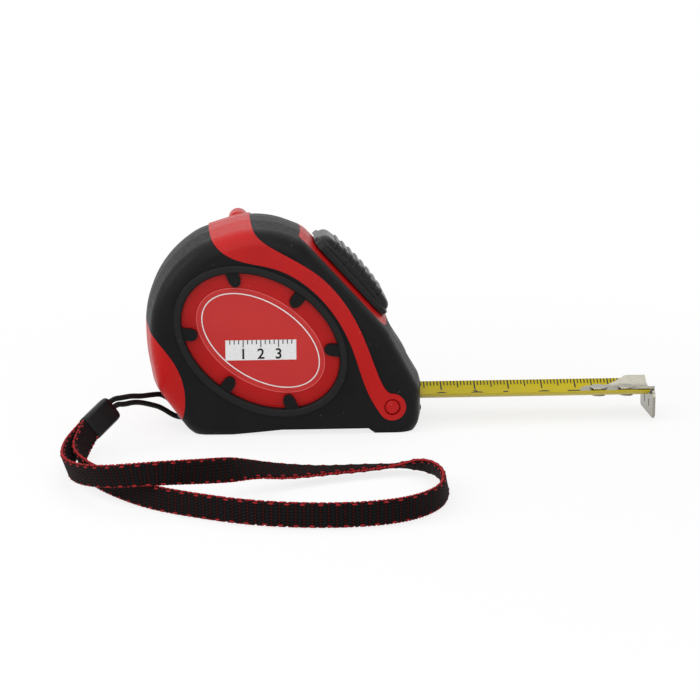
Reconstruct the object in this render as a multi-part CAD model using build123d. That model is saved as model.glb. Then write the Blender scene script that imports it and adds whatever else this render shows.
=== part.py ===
from build123d import *
import math
import os

# A self-retracting pocket tape measure with its wrist strap, in millimetres.
# X runs along the pulled-out tape, Z is up and Y points away from the labelled side.
# The origin is on the base plane, on the centre plane, in the middle of the front foot.

# Tape
TAPE_WIDTH = 16.0
TAPE_THICK = 0.2
TROUGH_RADIUS = 11.6
TAPE_EDGE_Z = 8.8
BLADE_TUCK = 2.4
BLADE_END_X = 77.0
HOOK_FACE_X = 77.6
TAPE_TRAVEL = 66.5

# Reel
COIL_RADIUS = 17.7
DRUM_RADIUS = 13.0
DRUM_WALL = 1.0
FLANGE_RIM = 1.2
FLANGE_THICK = 0.9
FLANGE_GAP = 0.4
REEL_X = -36.5
POST_RADIUS = 3.2
POST_FIT = 0.05
POST_SEAT = 2.4
SPRING_THICK = 0.45
SPRING_HALVES = 12
SPRING_GAP = 0.5
LEAD_DROP = 0.45
LEAD_CLEARANCE = 1.4

# Case, each corner of the side outline as x, z and corner radius; it is cut flat at the base plane
REAR_FOOT = (-56.6, -2.5, 10.0)
CASE_TOP = (-36.5, 61.6, 24.0)
SLOPE_TOP = (-23.7, 56.6, 10.0)
SLOPE_FOOT = (0.4, 30.3, 15.0)
NOSE_FOOT = (10.0, 12.6, 7.6)
FRONT_TOE = (10.0, 1.4, 7.6)
FRONT_FOOT = (4.7, -5.0, 8.4)
CASE_CORNERS = [
    REAR_FOOT,
    (-67.2, 12.3, 14.0),
    (-69.3, 24.0, 45.0),
    (-69.3, 45.2, 30.0),
    (-53.8, 56.2, 16.0),
    CASE_TOP,
    SLOPE_TOP,
    SLOPE_FOOT,
    NOSE_FOOT,
    FRONT_TOE,
    FRONT_FOOT,
]
CUT_REACH = 150.0
CAVITY_MARGIN = 4.1
SIDE_WALL = 2.5
CAVITY_INSET = 4.8
JACKET_THICK = 1.6
BELT_WIDTH = 6.0
BELT_TAPER = 2.5
FLANK_TAPER = 9.0
EDGE_RADIUS = 4.6
BAND_RISE = 0.4
REEL_BOSS_RADIUS = 5.4
REEL_SIDE_GAP = 0.15
SLIDE_GAP = 0.3

# Underside, between the rear foot and the front foot
RECESS_HEIGHT = 1.4
RECESS_BACK = -45.0
RECESS_RAMP = 14.0
FRONT_FOOT_BACK = -4.4
FOOT_RAMP = 1.9
RECESS_SKIN = 0.6
FLOOR_THICK = 1.6

# Mouth
MOUTH_ROOF = 2.0
GUIDE_THICK = 1.1
GUIDE_LENGTH = 9.0
GUIDE_GAP = 0.65

# Oval panel, ring and label on each side
PANEL_X = -36.7
PANEL_Z = 27.2
PANEL_TILT = -34.0
WINDOW_LONG = 24.2
WINDOW_SHORT = 17.2
RING_WIDTH = 2.4
RING_RISE = 0.7
RING_EDGE = 0.6
LABEL_LONG = 20.2
LABEL_SHORT = 12.4
LABEL_THICK = 0.15
TAB_ANGLES = [112.2, 48.9, -7.8, -65.9, -127.0, 173.7]
TAB_WIDTH = 3.4
TAB_LENGTH = 3.4
TAB_RISE = 0.2

# Raised red band with the round nose boss
BAND_OUTER = [
    (-38.9, 64.0),
    (-38.4, 58.2),
    (-32.3, 53.2),
    (-20.6, 46.0),
    (-9.8, 32.4),
    (-4.0, 18.1),
    (-2.5, 14.5),
    (-1.45, 12.75),
    (-0.75, 12.05),
    (0.3, 11.45),
]
BAND_INNER = [
    (-51.0, 64.0),
    (-50.8, 57.2),
    (-46.0, 51.9),
    (-33.1, 48.1),
    (-19.9, 39.4),
    (-11.1, 25.2),
    (-6.1, 11.1),
    (-4.3, 7.8),
    (-2.6, 5.3),
]
BOSS_X = 0.5
BOSS_Z = 7.6
BOSS_RADIUS = 3.9
CAP_RADIUS = 2.1
CAP_FIT = 0.25
CAP_DEPTH = 1.0
CAP_DOME = 0.7

# Red guard at the lower rear corner, and the notch for the strap between the halves
GUARD_EDGE = [
    (-70.5, 33.4),
    (-66.0, 27.6),
    (-61.0, 20.8),
    (-58.5, 13.5),
    (-58.4, 8.3),
    (-59.6, 3.2),
    (-61.5, -1.0),
]
GUARD_BACK_X = -76.0
NOTCH_WIDTH = 4.6
PIN_SETBACK = 3.2
PIN_Z = 3.0
PIN_RADIUS = 1.0
PIN_LENGTH = 10.0
CORD_DIAMETER = 1.5
CORD_FIT = 0.4
NOTCH_TOP_Z = 10.6

# Lock slider on the front slope
COLLAR_START = -1.0
COLLAR_LENGTH = 36.0
COLLAR_WIDTH = 26.4
COLLAR_RISE = 0.2
COLLAR_CORNER = 3.0
BUTTON_START = 3.6
BUTTON_LENGTH = 30.1
BUTTON_WIDTH = 17.0
BUTTON_BASE_RISE = 2.0
BUTTON_CORNER = 3.4
BUTTON_EDGE = 0.8
GRIP_WIDTH = 15.4
GRIP_RISE_TOP = 3.6
GRIP_RISE_MIDDLE = 5.0
GRIP_RISE_FRONT = 3.0
GRIP_INSET = 0.7
GRIP_CORNER = 3.0
GRIP_EDGE = 2.4
RIB_COUNT = 8
RIB_RISE = 0.35
RIB_THICK = 1.3
RIB_FIRST = 5.6
RIB_PITCH = 2.6
RIB_LOW = 3.0
LOCK_TRAVEL = 4.0
LEG_WIDTH = 5.6
LEG_THICK = 4.0
LEG_START = 19.8
LEG_KNEE_DEPTH = 9.0
SHOE_LENGTH = 6.0
SHOE_BACK_X = -8.4
SLOT_GAP = 0.4

# Finger scallops on the nose, each as upper and lower end along the nose face and depth
SCALLOPS = [(-1.0, 9.3, 0.6), (10.9, 18.2, 0.4)]

# Fasteners of the case
SCREW_SHANK = 1.1
SCREW_HEAD = 1.9
SCREW_HEAD_HEIGHT = 1.2
SCREW_REACH = 8.0
SCREW_BOSS = 2.3
SCREW_FIT = 0.05
SCREW_PANEL_RADIUS = 22.3
BAND_SCREW_X = -18.2
BAND_SCREW_Z = 41.2

# Belt clip on the far side
CLIP_X = -42.1
CLIP_PAD_WIDTH = 5.6
CLIP_PAD_DROP = 2.0
CLIP_PAD_HEIGHT = 10.5
CLIP_PAD_DEPTH = 8.0
CLIP_PAD_RISE = 1.1
CLIP_WIDTH = 12.0
CLIP_THICK = 0.9
CLIP_TOP_DROP = 4.8
CLIP_SCREW_DROP = 7.6
CLIP_BOW = 5.0
CLIP_BEND = 6.5
CLIP_FLAT = 13.0
CLIP_LENGTH = 37.8
CLIP_TOE = 2.4
CLIP_SCREW_HEAD = 2.4
CLIP_SCREW_HEAD_HEIGHT = 1.3
CLIP_SCREW_REACH = 6.0

# End hook
HOOK_THICK = 0.8
HOOK_GAP = 0.2
HOOK_WIDTH = 16.4
PLATE_WIDTH = 17.0
HOOK_TONGUE = 20.0
HOOK_NARROW = 8.2
HOOK_FLARE = 7.4
HOOK_TIP_WIDTH = 6.6
HOOK_BASE_CLEARANCE = 0.3
HOOK_CORNER = 1.0
HOOK_WAIST = 6.0
HOOK_SHOULDER = 2.4
HOOK_PLAY = 0.5
TOOTH_COUNT = 9
TOOTH_DEPTH = 0.8
NAIL_SLOT_WIDTH = 0.8
NAIL_SLOT_LENGTH = 2.6
NAIL_SLOT_SPACING = 6.0
RIVET_RADIUS = 1.3
RIVET_HEAD_RADIUS = 2.6
RIVET_HEAD_HEIGHT = 0.6
RIVET_FIT = 0.15
RIVET_OFFSETS = [5.5, 13.8]

# Wrist strap, every point chosen by hand; a webbing point is followed by the way its first edge points
WEBBING_WIDTH = 6.2
WEBBING_THICK = 1.2
LAYER_STEP = 1.4
SLEEVE_WIDTH = 7.2
SLEEVE_THICK = 3.5
SLEEVE_EDGE = 1.1
SLEEVE_LOW = (-84.55, -35.0, 7.1)
SLEEVE_HIGH = (-78.7, -25.0, 10.7)
SLEEVE_SIDE = (-0.62, 0.0, 0.78)
STRAND_STEP = 1.8
STRAND_RAISE = 0.6
WEBBING_ROUTE = [
    (-87.9, -43.0, 5.5, -0.50, 0.0, 0.86),
    (-89.3, -52.0, 5.0, -0.38, 0.0, 0.92),
    (-89.2, -61.0, 4.9, -0.32, -0.10, 0.94),
    (-87.2, -69.5, 5.5, -0.25, -0.20, 0.95),
    (-83.0, -77.5, 6.7, -0.15, -0.30, 0.94),
    (-77.5, -84.0, 8.2, -0.05, -0.30, 0.95),
    (-70.0, -88.0, 9.7, 0.0, -0.20, 0.98),
    (-62.5, -88.5, 10.2, 0.0, -0.10, 1.0),
    (-55.0, -84.5, 9.2, 0.0, 0.0, 1.0),
    (-48.0, -78.5, 7.7, 0.0, 0.30, 0.95),
    (-41.0, -72.5, 6.2, -0.20, 0.84, 0.48),
    (-33.0, -67.5, 3.8, -0.10, 0.94, 0.34),
    (-22.0, -63.0, 2.5, 0.0, 1.0, 0.0),
    (-10.0, -59.0, 1.9, 0.0, 1.0, -0.10),
    (0.0, -57.2, 2.0, 0.0, 0.93, -0.35),
    (6.3, -61.5, 2.8, 0.45, 0.55, -0.70),
    (8.6, -71.0, 3.35, 0.35, 0.10, -0.93),
    (8.7, -81.0, 3.3, 0.15, 0.0, -1.0),
    (6.0, -91.5, 3.3, 0.0, 0.0, -1.0),
    (-1.5, -100.0, 3.3, 0.0, 0.0, -1.0),
    (-12.0, -104.0, 3.3, 0.0, 0.0, -1.0),
    (-26.0, -104.5, 3.3, 0.0, 0.0, -1.0),
    (-42.0, -101.0, 3.3, 0.0, 0.0, -1.0),
    (-56.0, -93.5, 3.3, 0.0, 0.0, -1.0),
    (-67.0, -86.0, 3.3, 0.0, 0.0, -1.0),
    (-76.0, -75.0, 3.3, 0.0, 0.0, -1.0),
    (-83.2, -64.0, 3.5, 0.10, 0.10, -1.0),
    (-86.6, -53.0, 4.2, 0.40, 0.0, -0.90),
    (-86.0, -44.0, 5.6, 0.55, 0.0, -0.83),
]
CORD_UPPER = [
    (-75.9, -20.0, 12.3),
    (-73.5, -15.0, 11.5),
    (-70.9, -10.0, 10.1),
    (-67.9, -4.8, 9.2),
    (-65.0, -0.9, 8.4),
]
CORD_LOWER = [
    (-65.5, -1.6, 4.6),
    (-68.3, -6.8, 6.8),
    (-70.9, -11.2, 8.6),
    (-73.1, -15.6, 9.8),
    (-75.3, -20.2, 10.4),
]
PIN_TURN_FIT = 0.12
PIN_LEAVE = 1.4
CORD_LEAVE = 2.6

# Worked out from the values above
trough_angle = TAPE_WIDTH / TROUGH_RADIUS / 2
trough_depth = TROUGH_RADIUS * (1 - math.cos(trough_angle))
trough_axis_z = TAPE_EDGE_Z - trough_depth + TROUGH_RADIUS
tape_floor_z = TAPE_EDGE_Z - trough_depth - TAPE_THICK
lead_z = TAPE_EDGE_Z + LEAD_CLEARANCE
reel_z = lead_z + TAPE_THICK + LEAD_DROP + COIL_RADIUS
flange_radius = COIL_RADIUS + FLANGE_RIM
coil_half = TAPE_WIDTH / 2
reel_half = coil_half + FLANGE_GAP + FLANGE_THICK
cavity_half = reel_half + CAVITY_MARGIN
panel_y = cavity_half + SIDE_WALL
case_half = panel_y + JACKET_THICK
front_x = FRONT_TOE[0]
blade_start_x = front_x - BLADE_TUCK
mouth_half = TAPE_WIDTH / 2
mouth_floor_z = tape_floor_z - GUIDE_GAP - GUIDE_THICK
mouth_roof_z = TAPE_EDGE_Z + MOUTH_ROOF
blade_pocket_x = blade_start_x - TAPE_TRAVEL - 2 * SLIDE_GAP

slope_run = Vector(SLOPE_FOOT[0] - SLOPE_TOP[0], 0, SLOPE_FOOT[1] - SLOPE_TOP[1]).normalized()
slope_out = Vector(-slope_run.Z, 0, slope_run.X)
slope_plane = Plane(origin=(SLOPE_TOP[0], 0, SLOPE_TOP[1]), x_dir=slope_run, z_dir=slope_out)
slope_side = Plane(origin=(SLOPE_TOP[0], 0, SLOPE_TOP[1]), x_dir=slope_run, z_dir=(0, -1, 0))
nose_run = Vector(NOSE_FOOT[0] - SLOPE_FOOT[0], 0, NOSE_FOOT[1] - SLOPE_FOOT[1]).normalized()
nose_side = Plane(origin=(SLOPE_FOOT[0], 0, SLOPE_FOOT[1]), x_dir=nose_run, z_dir=(0, -1, 0))

panel_long = Vector(math.cos(math.radians(PANEL_TILT)), 0, math.sin(math.radians(PANEL_TILT)))
clip_pad_top_z = CASE_TOP[1] - CLIP_PAD_DROP
clip_pad_bottom_z = clip_pad_top_z - CLIP_PAD_HEIGHT
clip_top_z = clip_pad_top_z - CLIP_TOP_DROP
clip_screw_z = clip_pad_top_z - CLIP_SCREW_DROP
clip_bottom_z = clip_top_z - CLIP_LENGTH
pin_x = REAR_FOOT[0] - PIN_SETBACK
screw_places = [
    (PANEL_X + panel_long.X * SCREW_PANEL_RADIUS, PANEL_Z + panel_long.Z * SCREW_PANEL_RADIUS),
    (PANEL_X - panel_long.X * SCREW_PANEL_RADIUS, PANEL_Z - panel_long.Z * SCREW_PANEL_RADIUS),
    (BAND_SCREW_X, BAND_SCREW_Z),
]


# Helpers

def side_sketch(sketch, y=0.0):
    """A sketch drawn in x and z, placed on the plane at y; a positive extrusion runs towards -Y."""
    return Plane.XZ.offset(-y) * sketch


def prism(sketch, y_near, y_far):
    """A sketch drawn in x and z as a solid between y_near and y_far."""
    return extrude(side_sketch(sketch, y_far), amount=y_far - y_near)


def rod(x, z, radius, y_near, y_far):
    """A round bar along Y."""
    return prism(Pos(x, z) * Circle(radius), y_near, y_far)


def block(x_low, x_high, y_low, y_high, z_low, z_high):
    """A plain box between two corners."""
    size = (x_high - x_low, y_high - y_low, z_high - z_low)
    centre = ((x_low + x_high) / 2, (y_low + y_high) / 2, (z_low + z_high) / 2)
    return Pos(*centre) * Box(*size)


def below(z):
    """Everything under a height, for cutting the case flat."""
    return block(-CUT_REACH, CUT_REACH, -CUT_REACH, CUT_REACH, z - CUT_REACH, z)


def inset_corners(inset):
    """Corners of the case outline with every straight side moved inwards."""
    count = len(CASE_CORNERS)
    lines = []
    for index in range(count):
        x0, z0, _ = CASE_CORNERS[index]
        x1, z1, _ = CASE_CORNERS[(index + 1) % count]
        length = math.hypot(x1 - x0, z1 - z0)
        direction = ((x1 - x0) / length, (z1 - z0) / length)
        lines.append((x0 + direction[1] * inset, z0 - direction[0] * inset, direction))
    corners = []
    for index in range(count):
        x0, z0, d0 = lines[index - 1]
        x1, z1, d1 = lines[index]
        turn = d0[0] * d1[1] - d0[1] * d1[0]
        along = ((x1 - x0) * d1[1] - (z1 - z0) * d1[0]) / turn
        corners.append((x0 + d0[0] * along, z0 + d0[1] * along))
    return corners


def case_face(inset):
    """The side outline of the case, smaller by inset all round."""
    radii = [corner[2] - inset for corner in CASE_CORNERS]
    return make_face(FilletPolyline(*inset_corners(inset), radius=radii, close=True))


def half_body(inset):
    """The labelled half of the case as a full, crowned body, smaller by inset all round."""
    belt = extrude(side_sketch(case_face(inset)), amount=BELT_WIDTH, taper=BELT_TAPER)
    belt_end = belt.faces().sort_by(Axis.Y)[0]
    flank = extrude(belt_end, amount=case_half - inset - BELT_WIDTH, taper=FLANK_TAPER)
    body = belt + flank
    rim = body.faces().sort_by(Axis.Y)[0].edges()
    return fillet(rim, EDGE_RADIUS - inset / 2)


def panel_oval(half_long, half_short):
    return Pos(PANEL_X, PANEL_Z) * Rot(0, 0, PANEL_TILT) * Ellipse(half_long, half_short)


def curve_face(edge, far_edge):
    """A face between two smooth edges whose ends are joined by straight lines."""
    first = Spline(*edge)
    last = Spline(*far_edge)
    return make_face([first, Line(edge[-1], far_edge[-1]), last, Line(far_edge[0], edge[0])])


# Case

def band_face():
    return curve_face(BAND_OUTER, BAND_INNER) + Pos(BOSS_X, BOSS_Z) * Circle(BOSS_RADIUS)


def guard_face():
    edge = Spline(*GUARD_EDGE)
    top = GUARD_EDGE[0]
    bottom = GUARD_EDGE[-1]
    back = Polyline(bottom, (GUARD_BACK_X, bottom[1]), (GUARD_BACK_X, top[1]), top)
    return make_face([edge, back])


def underside_recess():
    """The shallow recess under the case, with a ramp at each foot."""
    low = -RECESS_HEIGHT
    outline = Polyline(
        (RECESS_BACK, 0),
        (RECESS_BACK + RECESS_RAMP, RECESS_HEIGHT),
        (FRONT_FOOT_BACK - FOOT_RAMP, RECESS_HEIGHT),
        (FRONT_FOOT_BACK, 0),
        (FRONT_FOOT_BACK, low),
        (RECESS_BACK, low),
        close=True,
    )
    return prism(make_face(outline), -2 * case_half, 2 * case_half)


def nose_scallops():
    """Round finger grips across the face of the nose."""
    cutters = None
    for upper, lower, depth in SCALLOPS:
        half_chord = (lower - upper) / 2
        radius = (half_chord**2 + depth**2) / (2 * depth)
        place = nose_side * Pos((upper + lower) / 2, radius - depth, 0)
        cutter = place * Cylinder(radius, 4 * case_half)
        cutters = cutter if cutters is None else cutters + cutter
    return cutters


def collar():
    """Block over the front slope whose outer surface is the red strip round the lock slider."""
    strip = RectangleRounded(COLLAR_LENGTH, COLLAR_WIDTH, COLLAR_CORNER)
    centre = COLLAR_START + COLLAR_LENGTH / 2
    low = slope_plane.offset(-CAVITY_INSET) * Pos(centre, 0) * strip
    return extrude(low, amount=2 * CAVITY_INSET)


def lock_slot():
    """Slot through the slope for the leg of the lock slider."""
    length = LEG_THICK + LOCK_TRAVEL + 2 * SLOT_GAP
    centre = LEG_START + LEG_THICK / 2 + LOCK_TRAVEL / 2
    opening = slope_plane.offset(-2 * CAVITY_INSET) * Pos(centre, 0) * Rectangle(length, LEG_WIDTH + 2 * SLOT_GAP)
    return extrude(opening, amount=3 * CAVITY_INSET)


def strap_notch():
    """Open notch in the lower rear corner, round the strap pin."""
    turn_radius = PIN_RADIUS + PIN_TURN_FIT + CORD_DIAMETER + CORD_FIT
    mouth = Polyline(
        (GUARD_BACK_X, NOTCH_TOP_Z),
        (pin_x - turn_radius, NOTCH_TOP_Z),
        (pin_x, PIN_Z + turn_radius),
        (pin_x, PIN_Z - turn_radius),
        (GUARD_BACK_X, PIN_Z - 2 * turn_radius),
        close=True,
    )
    outline = make_face(mouth) + Pos(pin_x, PIN_Z) * Circle(turn_radius)
    return prism(outline, -NOTCH_WIDTH / 2, NOTCH_WIDTH / 2)


def half_cavity():
    """The hollow of the labelled half, with the mouth and the way for the retracted blade."""
    room = prism(case_face(CAVITY_INSET), -cavity_half, 0) - below(RECESS_HEIGHT + RECESS_SKIN + FLOOR_THICK)
    mouth = block(0, front_x + CAVITY_INSET, -mouth_half, 0, mouth_floor_z, mouth_roof_z)
    back = block(blade_pocket_x, 0, -mouth_half, 0, tape_floor_z - SLIDE_GAP, TAPE_EDGE_Z + SLIDE_GAP)
    return room + mouth + back


def half_bosses():
    """Reel seat and screw bosses inside the labelled half."""
    seat_face = reel_half + REEL_SIDE_GAP
    bosses = rod(REEL_X, reel_z, REEL_BOSS_RADIUS, -cavity_half, -seat_face)
    for x, z in screw_places:
        bosses += rod(x, z, SCREW_BOSS, -cavity_half, 0)
    return bosses


def half_shell(full, core, raised):
    """Red half on the labelled side: inner core, raised band, guard and collar round the lock slider."""
    band = raised & prism(band_face(), -2 * case_half, 0)
    guard = full & prism(guard_face(), -2 * case_half, 0)
    lands = band + guard + (full & collar())
    return core + lands


def half_jacket(full, shell):
    """Black rubber on the labelled side: skin, raised oval ring and its tabs."""
    window = panel_oval(WINDOW_LONG, WINDOW_SHORT)
    rim = panel_oval(WINDOW_LONG + RING_WIDTH, WINDOW_SHORT + RING_WIDTH)
    ring = prism(rim - window, -case_half - RING_RISE, -panel_y)
    ring = fillet(ring.faces().sort_by(Axis.Y)[0].edges(), RING_EDGE)
    skin = full - prism(window, -2 * case_half, -panel_y) + ring
    for angle in TAB_ANGLES:
        skin += tab(angle)
    return skin - shell


def oval_radius(angle):
    """Distance from the panel's centre to the window's edge in a direction given in degrees."""
    turned = math.radians(angle - PANEL_TILT)
    return 1 / math.hypot(math.cos(turned) / WINDOW_LONG, math.sin(turned) / WINDOW_SHORT)


def tab(angle):
    """One rounded tab that reaches in from the ring."""
    reach = oval_radius(angle)
    length = TAB_LENGTH + RING_WIDTH / 2
    middle = reach + RING_WIDTH / 2 - length / 2
    shape = Rectangle(length, TAB_WIDTH) + Pos(-length / 2, 0) * Circle(TAB_WIDTH / 2 - RING_EDGE / 4)
    placed = Pos(PANEL_X, PANEL_Z) * Rot(0, 0, angle) * Pos(middle + TAB_WIDTH / 4, 0) * shape
    return prism(placed, -case_half - TAB_RISE, -panel_y)


def build_case():
    """The four case pieces: right and left shell, right and left jacket."""
    full = half_body(0)
    core = half_body(JACKET_THICK) - below(RECESS_HEIGHT + RECESS_SKIN)
    raised = half_body(-BAND_RISE)
    trims = underside_recess() + nose_scallops() + below(0)
    boss_bore = rod(BOSS_X, BOSS_Z, CAP_RADIUS + CAP_FIT, -2 * case_half, -case_half - BAND_RISE + CAP_DEPTH)
    shell = half_shell(full, core, raised) - trims - boss_bore
    jacket = half_jacket(full, shell) - trims - boss_bore
    shell = shell - half_cavity() + half_bosses() - lock_slot() - strap_notch()
    jacket = jacket - half_cavity() - strap_notch() - lock_slot()
    pin_hole = rod(pin_x, PIN_Z, PIN_RADIUS, -PIN_LENGTH / 2, PIN_LENGTH / 2)
    post_hole = rod(REEL_X, reel_z, POST_RADIUS, -reel_half - POST_SEAT, 0)
    shell = shell - pin_hole - post_hole
    jacket = jacket - pin_hole
    left_shell = mirror(shell, about=Plane.XZ)
    left_jacket = mirror(jacket, about=Plane.XZ)
    return shell, left_shell, jacket, left_jacket


def screw_hole(x, z):
    """Stepped hole for one case screw, from the far side."""
    head_y = screw_head_y(z)
    shank = rod(x, z, SCREW_SHANK + SCREW_FIT, -SCREW_REACH - SCREW_FIT, head_y)
    return shank + rod(x, z, SCREW_HEAD + SCREW_FIT, head_y, 2 * case_half)


def screw_head_y(z):
    """Seat of a screw head: below the panel, or below the raised band for the screw in the band."""
    surface = case_half + BAND_RISE if z == BAND_SCREW_Z else panel_y
    return surface - SCREW_HEAD_HEIGHT - SCREW_FIT


def case_screws():
    screws = []
    for x, z in screw_places:
        head_y = screw_head_y(z)
        shank = rod(x, z, SCREW_SHANK, -SCREW_REACH, head_y)
        head = rod(x, z, SCREW_HEAD, head_y, head_y + SCREW_HEAD_HEIGHT)
        head = fillet(head.faces().sort_by(Axis.Y)[-1].edges(), SCREW_HEAD_HEIGHT / 3)
        cross = block(-SCREW_HEAD * 0.6, SCREW_HEAD * 0.6, 0, SCREW_HEAD_HEIGHT, -0.25, 0.25)
        cross += block(-0.25, 0.25, 0, SCREW_HEAD_HEIGHT, -SCREW_HEAD * 0.6, SCREW_HEAD * 0.6)
        drive = Pos(x, head_y + SCREW_HEAD_HEIGHT / 2, z) * cross
        screws.append(shank + head - drive)
    return screws


def label(side):
    """Oval label on one panel; side is -1 for the labelled side and +1 for the far side."""
    sheet = prism(panel_oval(LABEL_LONG, LABEL_SHORT), -panel_y - LABEL_THICK, -panel_y)
    return sheet if side < 0 else mirror(sheet, about=Plane.XZ)


def nose_cap(side):
    """Domed cap in the bore of the nose boss."""
    floor_y = -case_half - BAND_RISE + CAP_DEPTH
    top_y = -case_half - BAND_RISE
    cap = rod(BOSS_X, BOSS_Z, CAP_RADIUS, top_y, floor_y)
    cap = fillet(cap.faces().sort_by(Axis.Y)[0].edges(), CAP_DOME)
    return cap if side < 0 else mirror(cap, about=Plane.XZ)


# Reel

def reel_post():
    """Fixed post with the slot that holds the inner end of the spring."""
    end = reel_half + POST_SEAT
    post = rod(REEL_X, reel_z, POST_RADIUS, -end, end)
    slot = block(
        REEL_X - SPRING_THICK,
        REEL_X + SPRING_THICK,
        -coil_half,
        coil_half,
        reel_z,
        reel_z + 2 * POST_RADIUS,
    )
    return post - slot


def tape_drum():
    """Drum with the flange on the far side."""
    bore = POST_RADIUS + POST_FIT
    inner = coil_half + FLANGE_GAP
    wall = rod(REEL_X, reel_z, DRUM_RADIUS, -inner, inner)
    wall -= rod(REEL_X, reel_z, DRUM_RADIUS - DRUM_WALL, -inner, inner)
    flange = rod(REEL_X, reel_z, flange_radius, inner, inner + FLANGE_THICK)
    flange -= rod(REEL_X, reel_z, bore, inner, inner + FLANGE_THICK)
    return wall + flange


def drum_lid():
    """Flange on the labelled side that closes the spring chamber."""
    inner = coil_half + FLANGE_GAP
    bore = POST_RADIUS + POST_FIT
    lid = rod(REEL_X, reel_z, flange_radius, -inner - FLANGE_THICK, -inner)
    return lid - rod(REEL_X, reel_z, bore, -inner - FLANGE_THICK, -inner)


def tape_coil():
    """The wound tape, on the drum."""
    outer = rod(REEL_X, reel_z, COIL_RADIUS, -coil_half, coil_half)
    return outer - rod(REEL_X, reel_z, DRUM_RADIUS, -coil_half, coil_half)


def mainspring():
    """Flat spiral of half circles, whose centres step to and fro by half the pitch."""
    start = POST_RADIUS + POST_FIT + SPRING_GAP + SPRING_THICK
    pitch = 2 * (DRUM_RADIUS - DRUM_WALL - start) / SPRING_HALVES
    outer_edge = spiral_edges(start, pitch)
    inner_edge = spiral_edges(start - SPRING_THICK, pitch)
    ends = [
        Line(outer_edge[0] @ 0, inner_edge[0] @ 0),
        Line(outer_edge[-1] @ 1, inner_edge[-1] @ 1),
    ]
    face = make_face(outer_edge + inner_edge + ends)
    height = coil_half - FLANGE_GAP
    return prism(Pos(REEL_X, reel_z) * face, -height, height)


def spiral_edges(start, pitch):
    """Half circles joined end to end; each is larger than the last by half the pitch."""
    edges = []
    point = Vector(start, 0)
    sense = 1
    radius = start
    for _ in range(SPRING_HALVES):
        end = point - Vector(2 * sense * radius, 0)
        top = (point + end) * 0.5 + Vector(0, sense * radius)
        edges.append(ThreePointArc(point, top, end))
        point = end
        radius += pitch / 2
        sense = -sense
    return edges


# Tape

def trough_section(inner_radius, outer_radius, half_angle):
    """Slice of a ring round the trough's axis, open at the top, in y and z."""
    ring = Circle(outer_radius) - Circle(inner_radius)
    reach = 2 * outer_radius
    left = (-reach * math.sin(half_angle), -reach * math.cos(half_angle))
    right = (-left[0], left[1])
    wedge = make_face(Polyline((0, 0), left, (0, -2 * reach), right, close=True))
    return Pos(0, trough_axis_z) * (ring & wedge)


def along_tape(sketch, x_low, x_high):
    """A cross section in y and z as a solid between two places on the tape."""
    return extrude(Plane.YZ.offset(x_low) * sketch, amount=x_high - x_low)


def tape_blade():
    """Pulled-out tape with the holes for its rivets."""
    section = trough_section(TROUGH_RADIUS, TROUGH_RADIUS + TAPE_THICK, trough_angle)
    blade = along_tape(section, blade_start_x, BLADE_END_X)
    for x in rivet_places():
        blade -= Pos(x, 0, TAPE_EDGE_Z) * Cylinder(RIVET_RADIUS, 4 * TROUGH_RADIUS)
    return blade


def tape_lead():
    """Flat stretch of tape from under the coil to the mouth."""
    start = REEL_X
    end = blade_start_x - SLIDE_GAP
    return block(start, end, -mouth_half, mouth_half, lead_z, lead_z + TAPE_THICK)


def mouth_guide():
    """Sliding bed under the tape in the mouth."""
    top = tape_floor_z - GUIDE_GAP
    return block(front_x - GUIDE_LENGTH - SLIDE_GAP, front_x - SLIDE_GAP, -mouth_half + SLIDE_GAP / 3,
                 mouth_half - SLIDE_GAP / 3, top - GUIDE_THICK, top)


def rivet_places():
    return [HOOK_FACE_X - HOOK_TONGUE + offset for offset in RIVET_OFFSETS]


def hook_rivets():
    """Rivets of the end hook, with flat heads above the hook and below the tape."""
    rivets = []
    top_of_hook = trough_axis_z - (TROUGH_RADIUS - HOOK_GAP - HOOK_THICK)
    hook_radius = TROUGH_RADIUS - HOOK_GAP - HOOK_THICK
    lift = hook_radius - math.sqrt(hook_radius**2 - RIVET_HEAD_RADIUS**2) + HOOK_GAP
    head_low = top_of_hook + lift
    for x in rivet_places():
        shank_low = tape_floor_z
        shank = Pos(x, 0, (shank_low + head_low) / 2) * Cylinder(RIVET_RADIUS, head_low - shank_low)
        head = Pos(x, 0, head_low + RIVET_HEAD_HEIGHT / 2) * Cylinder(RIVET_HEAD_RADIUS, RIVET_HEAD_HEIGHT)
        head = fillet(head.faces().sort_by(Axis.Z)[-1].edges(), RIVET_HEAD_HEIGHT / 2)
        foot = Pos(x, 0, shank_low - RIVET_HEAD_HEIGHT / 4) * Cylinder(RIVET_HEAD_RADIUS * 0.8, RIVET_HEAD_HEIGHT / 2)
        rivets.append(shank + head + foot)
    return rivets


def end_hook():
    """Hook: a tapered tongue that follows the trough, and a toothed plate bent down at the end."""
    outer = TROUGH_RADIUS - HOOK_GAP
    inner = outer - HOOK_THICK
    half_angle = HOOK_WIDTH / outer / 2
    tongue = along_tape(trough_section(inner, outer, half_angle), HOOK_FACE_X - HOOK_TONGUE, HOOK_FACE_X + HOOK_THICK)
    tongue &= extrude(tongue_plan(), amount=4 * TROUGH_RADIUS)
    plate = extrude(Plane.YZ.offset(HOOK_FACE_X) * plate_shape(), amount=HOOK_THICK)
    above = along_tape(Pos(0, trough_axis_z) * Circle(inner), HOOK_FACE_X - HOOK_THICK, HOOK_FACE_X + 2 * HOOK_THICK)
    hook = tongue + (plate - above)
    for x in rivet_places():
        slot = SlotCenterToCenter(2 * HOOK_PLAY + 2 * RIVET_FIT, 2 * (RIVET_RADIUS + RIVET_FIT))
        hook -= extrude(Pos(x, 0, 0) * slot, amount=4 * TROUGH_RADIUS)
    return hook


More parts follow.
